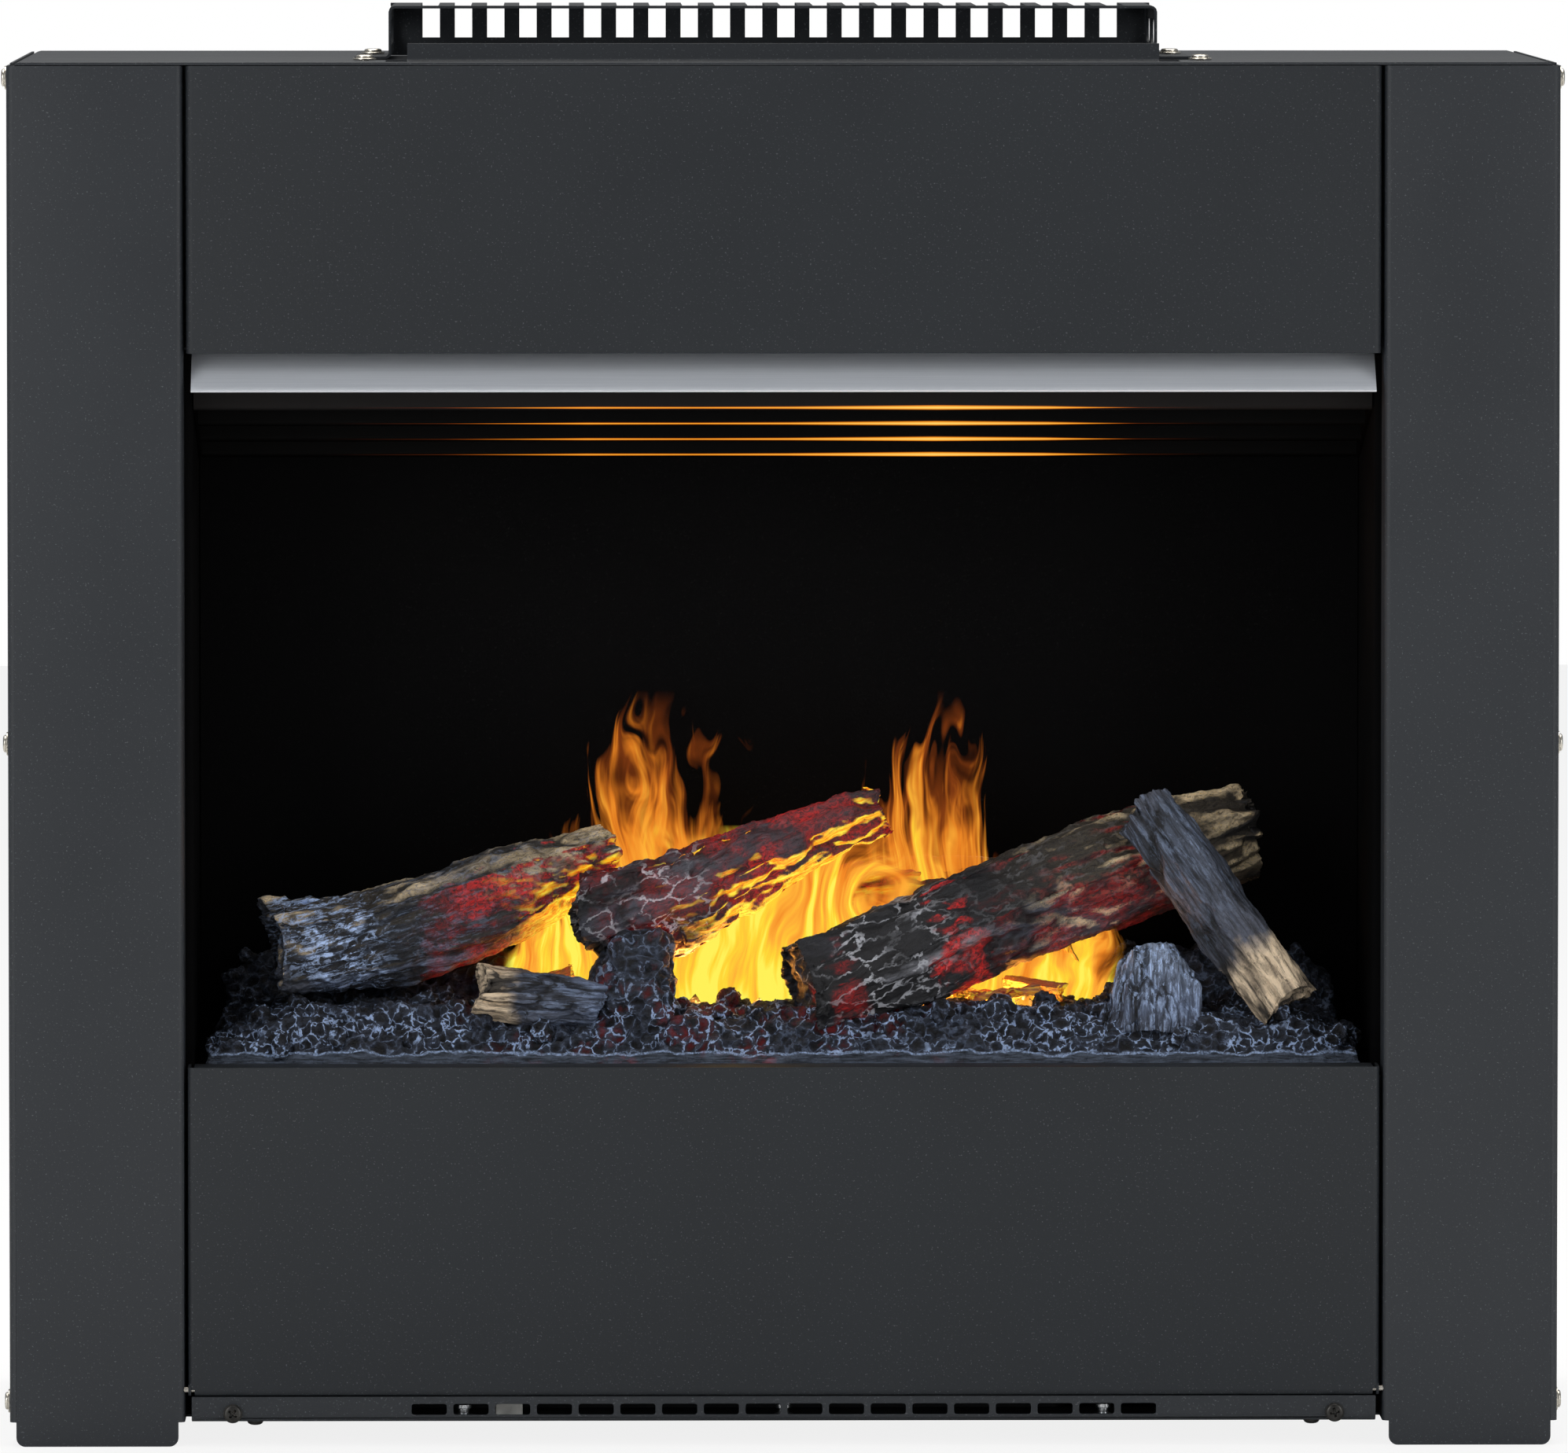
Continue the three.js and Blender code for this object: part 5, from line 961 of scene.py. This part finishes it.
def drive(node, screw, outward, turn):
    """A screw in place of a CAD one, its head's top level with the CAD one's outermost face."""
    low, high = (Vector(corner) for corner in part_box(node))
    outward = Vector(outward)
    end = (low + high) / 2
    for i, side in enumerate(outward):
        if side:
            end[i] = high[i] if side > 0 else low[i]
    facing = outward.to_track_quat("Z", "Y").to_matrix().to_4x4()
    mesh = screw.copy()
    mesh.transform(Matrix.Translation(end - outward * screw_head) @ facing @ Matrix.Rotation(turn, 4, "Z"))
    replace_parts(settle(f"{node}_turned", mesh), node)


plated = cross_screw("plated_screw", 5.2, nickel)
blackened = worn_metal("blackened", (0.035, 0.034, 0.033), (0.07, 0.068, 0.064), 0.32, 300)
base_screw = cross_screw("base_screw", 4.2, blackened)
for row in (1, 2, 3):
    drive(f"side_screw_left_{row}", plated, (-1, 0, 0), 0.9 * row)
    drive(f"side_screw_right_{row}", plated, (1, 0, 0), 1.3 * row)
for number in (1, 2):
    drive(f"top_screw_{number}", plated, (0, 0, 1), 0.7 * number)
    drive(f"guard_screw_{number}", plated, (0, 0, 1), 1.1 * number)
drive("base_screw_left", base_screw, (0, -1, 0), 0.5)
drive("base_screw_right", base_screw, (0, -1, 0), -0.2)

# ---------------------------------------------------------------------------------------------
# Small parts at the foot of the casing: two button screws under the tray, and behind the slots of
# the base strip three zinc-plated stand-offs and a white terminal block.
button = [(0, 0.05), (2.2, 0.05), (3.4, 0.12), (3.6, 0.3), (3.5, 1.0), (3.0, 1.7), (2.1, 2.15), (1.3, 2.3),
          (1.3, 1.3), (0, 1.2)]
stand_off = [(0, 0.05), (3.9, 0.05), (4.1, 0.2), (4.1, 1.0), (3.9, 1.2), (2.5, 1.25), (2.5, 3.4), (3.3, 3.5),
             (3.5, 3.7), (3.5, 5.2), (3.3, 5.5), (1.2, 5.6), (1.2, 5.0), (0, 4.9)]
zinc_plate = worn_metal("zinc_plate", (0.55, 0.57, 0.6), (0.75, 0.78, 0.8), 0.22, 500)


def stand(name, profile, place, flip, material):
    mesh = lathe(name, profile)
    mesh.transform(Matrix.Translation(place) @ Matrix.Rotation(flip, 4, "X"))
    settle(name, turned(mesh, material))


tray_under, tray_floor = 0.0108, 0.012
for side, x in (("left", -0.2345), ("right", 0.2345)):
    stand(f"button_screw_{side}", button, (x, -0.143, tray_under), math.pi, blackened)
for number, x in enumerate((-0.142, 0.0, 0.142)):
    stand(f"stand_off_{number + 1}", stand_off, (x, -0.141, tray_floor), 0, zinc_plate)

block_x, block_y = -0.1218, -0.1385
bm = bmesh.new()
bmesh.ops.create_cube(bm, size=1)
at = Matrix.Translation((block_x, block_y, tray_floor + 0.0038))
bmesh.ops.transform(bm, matrix=at @ Matrix.Diagonal((0.0118, 0.009, 0.0074, 1)), verts=bm.verts)
bmesh.ops.bevel(bm, geom=bm.edges[:], offset=0.0006, segments=3, affect="EDGES")
for step in (-1, 0, 1):
    rib = bmesh.ops.create_cube(bm, size=1)["verts"]
    at = Matrix.Translation((block_x + 0.0044 * step, block_y, tray_floor + 0.0041))
    bmesh.ops.transform(bm, matrix=at @ Matrix.Diagonal((0.0009, 0.0096, 0.0076, 1)), verts=rib)
block_mesh = meshed("terminal_block", bm)
block_mesh.materials.append(spark_plastic("terminal_white", (0.8, 0.8, 0.76), 0.4))
settle("terminal_block", block_mesh)

# ---------------------------------------------------------------------------------------------
# Louvre over the logs: folded sheet in the same black, with the deeper risers darker as painted
# shade. The lower bend of each riser has a thin orange line of painted fire light, an emission
# brightest over the middle and right flames and fading to both ends.
folds, tree, bsdf = new_material("louvre_black", 0.6)
bsdf["Specular IOR Level"].default_value = 0.06
spot = parts_of(tree, object_point(tree))
# Painted shade: the deeper risers near black, the front one lighter.
painted_depth_shade = [(0, (0.016, 0.0145, 0.0145)), (1, (0.0006, 0.0005, 0.0005))]
feed(tree, bsdf["Base Color"], ramp(tree, map_range(tree, spot["Y"], -0.131, -0.126, 0, 1), painted_depth_shade))
# Painted fire light: an orange emission where the normal turns down through each bend, fading to the ends.
tilt = parts_of(tree, add(tree, "ShaderNodeNewGeometry").outputs["Normal"])
spread = [(0, 0), (0.14, 0.1), (0.3, 0.55), (0.42, 0.5), (0.52, 0.6), (0.68, 1), (0.8, 0.7), (0.9, 0.1),
          (1, 0)]
fall = ramp(tree, map_range(tree, spot["X"], -0.21, 0.2, 0, 1), grey(spread))
off_fold = calc(tree, "ABSOLUTE", calc(tree, "ADD", tilt["Z"], 0.62))
line_light = calc(tree, "MULTIPLY_ADD", off_fold, -2.6, fall)
orange = [(0, NO_LIGHT), (0.12, (0.25, 0.04, 0.0)), (0.4, (1.0, 0.36, 0.02)), (0.9, (1.0, 0.68, 0.16))]
feed(tree, bsdf["Emission Color"], ramp(tree, line_light, orange))
bsdf["Emission Strength"].default_value = 1.0
dress(["outlet_louvre"], folds)

# ---------------------------------------------------------------------------------------------
# Light in the firebox: one lamp under the bed shines up through the mist slot onto the logs and the
# folds of the louvre, and a weak one under the louvre falls on the logs' upper sides.
front_plane = min(corner[1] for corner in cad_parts["access_flap"].bound_box)
slot_y = front_plane + 0.084
soft_panel("ember_light", (0.015, slot_y, 0.187), (0.015, slot_y, 1), (0.21, 0.018), 1.4, (1.0, 0.36, 0.05))
under_louvre = (0, front_plane + 0.04, 0.425)
log_tops = (0, front_plane + 0.09, 0.25)
crown_light = soft_panel("crown_light", under_louvre, log_tops, (0.46, 0.03), 0.1, (1, 0.94, 0.86))
crown_light.visible_camera = False

# ---------------------------------------------------------------------------------------------
# Flames: the mist that the lamp colours, as soft upright sheets with drawn-out tongues. Their places
# across and up, their seed and their warmth are stored on the sheet, and all share one material.
flame_paint, tree, bsdf = new_material("mist_flame", 1.0)
bsdf["Base Color"].default_value = (0, 0, 0, 1)
bsdf["Specular IOR Level"].default_value = 0.0
bsdf["Emission Strength"].default_value = 1.0
across, rise, seed, warmth = (read(tree, name) for name in ("across", "rise", "seed", "warmth"))
drift = noise(tree, joined(tree, across, seed, rise), 1.5, 2)
swing = times(tree, calc(tree, "SUBTRACT", drift, 0.5), calc(tree, "MULTIPLY_ADD", rise, 2.2, 0.3))
warped = joined(tree, times(tree, calc(tree, "ADD", across, swing), 2.4), seed, times(tree, rise, 1.1))
tongues = noise(tree, warped, 1.6, 3, 0.55)
drawn = joined(tree, calc(tree, "MULTIPLY_ADD", swing, 3.0, times(tree, across, 6.0)), seed, rise)
streaks = noise(tree, drawn, 1.5, 3, 0.55)
side = calc(tree, "POWER", calc(tree, "ABSOLUTE", calc(tree, "ADD", across, times(tree, swing, 0.6))), 2.0)
body = calc(tree, "ADD", calc(tree, "MULTIPLY_ADD", tongues, 2.6, -0.74), times(tree, warmth, 0.4))
body = calc(tree, "SUBTRACT", body, times(tree, side, 0.75))
body = calc(tree, "SUBTRACT", body, rise)
thick = times(tree, map_range(tree, body, 0.0, 0.55, 0, 1), map_range(tree, streaks, 0.3, 0.65, 0.6, 1))
foot = map_range(tree, rise, 0.0, 0.08, 0, 1)
rim = map_range(tree, calc(tree, "ABSOLUTE", across), 0.8, 1.0, 1, 0)
tip = map_range(tree, rise, 0.85, 1.0, 1, 0)
mask = times(tree, thick, foot, rim, tip)
feed(tree, bsdf["Alpha"], times(tree, mask, calc(tree, "MULTIPLY_ADD", warmth, 0.5, 0.8)))
heat = calc(tree, "MULTIPLY_ADD", calc(tree, "SUBTRACT", streaks, 0.5), 1.6, times(tree, thick, 0.55))
heat = calc(tree, "ADD", heat, calc(tree, "MULTIPLY_ADD", warmth, 0.22, times(tree, rise, -0.3)))
flame_colors = [(0.0, (0.35, 0.07, 0.01)), (0.3, (0.9, 0.25, 0.02)), (0.6, (1.0, 0.42, 0.04)),
                (0.85, (1.0, 0.68, 0.04)), (1.0, (1.0, 0.88, 0.1))]
feed(tree, bsdf["Emission Color"], ramp(tree, heat, flame_colors))


def flame(name, x0, x1, depth, z0, z1, seed, warmth):
    """An upright sheet of lit mist, bowed towards the back, with its own place across and up."""
    columns, rows, bow = 24, 36, 0.006
    bm = bmesh.new()
    layers = [bm.verts.layers.float.new(key) for key in ("across", "rise", "seed", "warmth")]
    grid = []
    for j in range(rows + 1):
        for i in range(columns + 1):
            u, v = 2 * i / columns - 1, j / rows
            sway = 0.004 * math.sin(5 * v + seed) * v
            y = front_plane + depth + bow * u * u + 0.5 * bow * math.sin(3 * v + 2 * u + seed)
            vertex = bm.verts.new(((x0 + x1) / 2 + u * (x1 - x0) / 2 + sway, y, z0 + v * (z1 - z0)))
            for layer, value in zip(layers, (u, v, seed, warmth)):
                vertex[layer] = value
            grid.append(vertex)
    for j in range(rows):
        for i in range(columns):
            k = j * (columns + 1) + i
            bm.faces.new((grid[k], grid[k + 1], grid[k + columns + 2], grid[k + columns + 1])).smooth = True
    mesh = meshed(name, bm)
    mesh.materials.append(flame_paint)
    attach(placed(name, mesh), "log_set")


flame("flame_left", -0.104, -0.008, 0.102, 0.215, 0.33, 1.3, 0.7)
flame("flame_left_rear", -0.085, -0.02, 0.108, 0.22, 0.322, 4.1, 0.4)
flame("flame_right", 0.03, 0.105, 0.104, 0.21, 0.33, 7.7, 0.6)
flame("flame_right_rear", 0.035, 0.1, 0.11, 0.21, 0.31, 9.2, 0.4)
flame("fire_left", -0.126, -0.045, 0.09, 0.184, 0.256, 12.4, 2.0)
flame("fire_middle", -0.062, 0.066, 0.09, 0.182, 0.27, 15.1, 2.2)
flame("fire_right", 0.03, 0.155, 0.09, 0.184, 0.242, 18.6, 1.8)
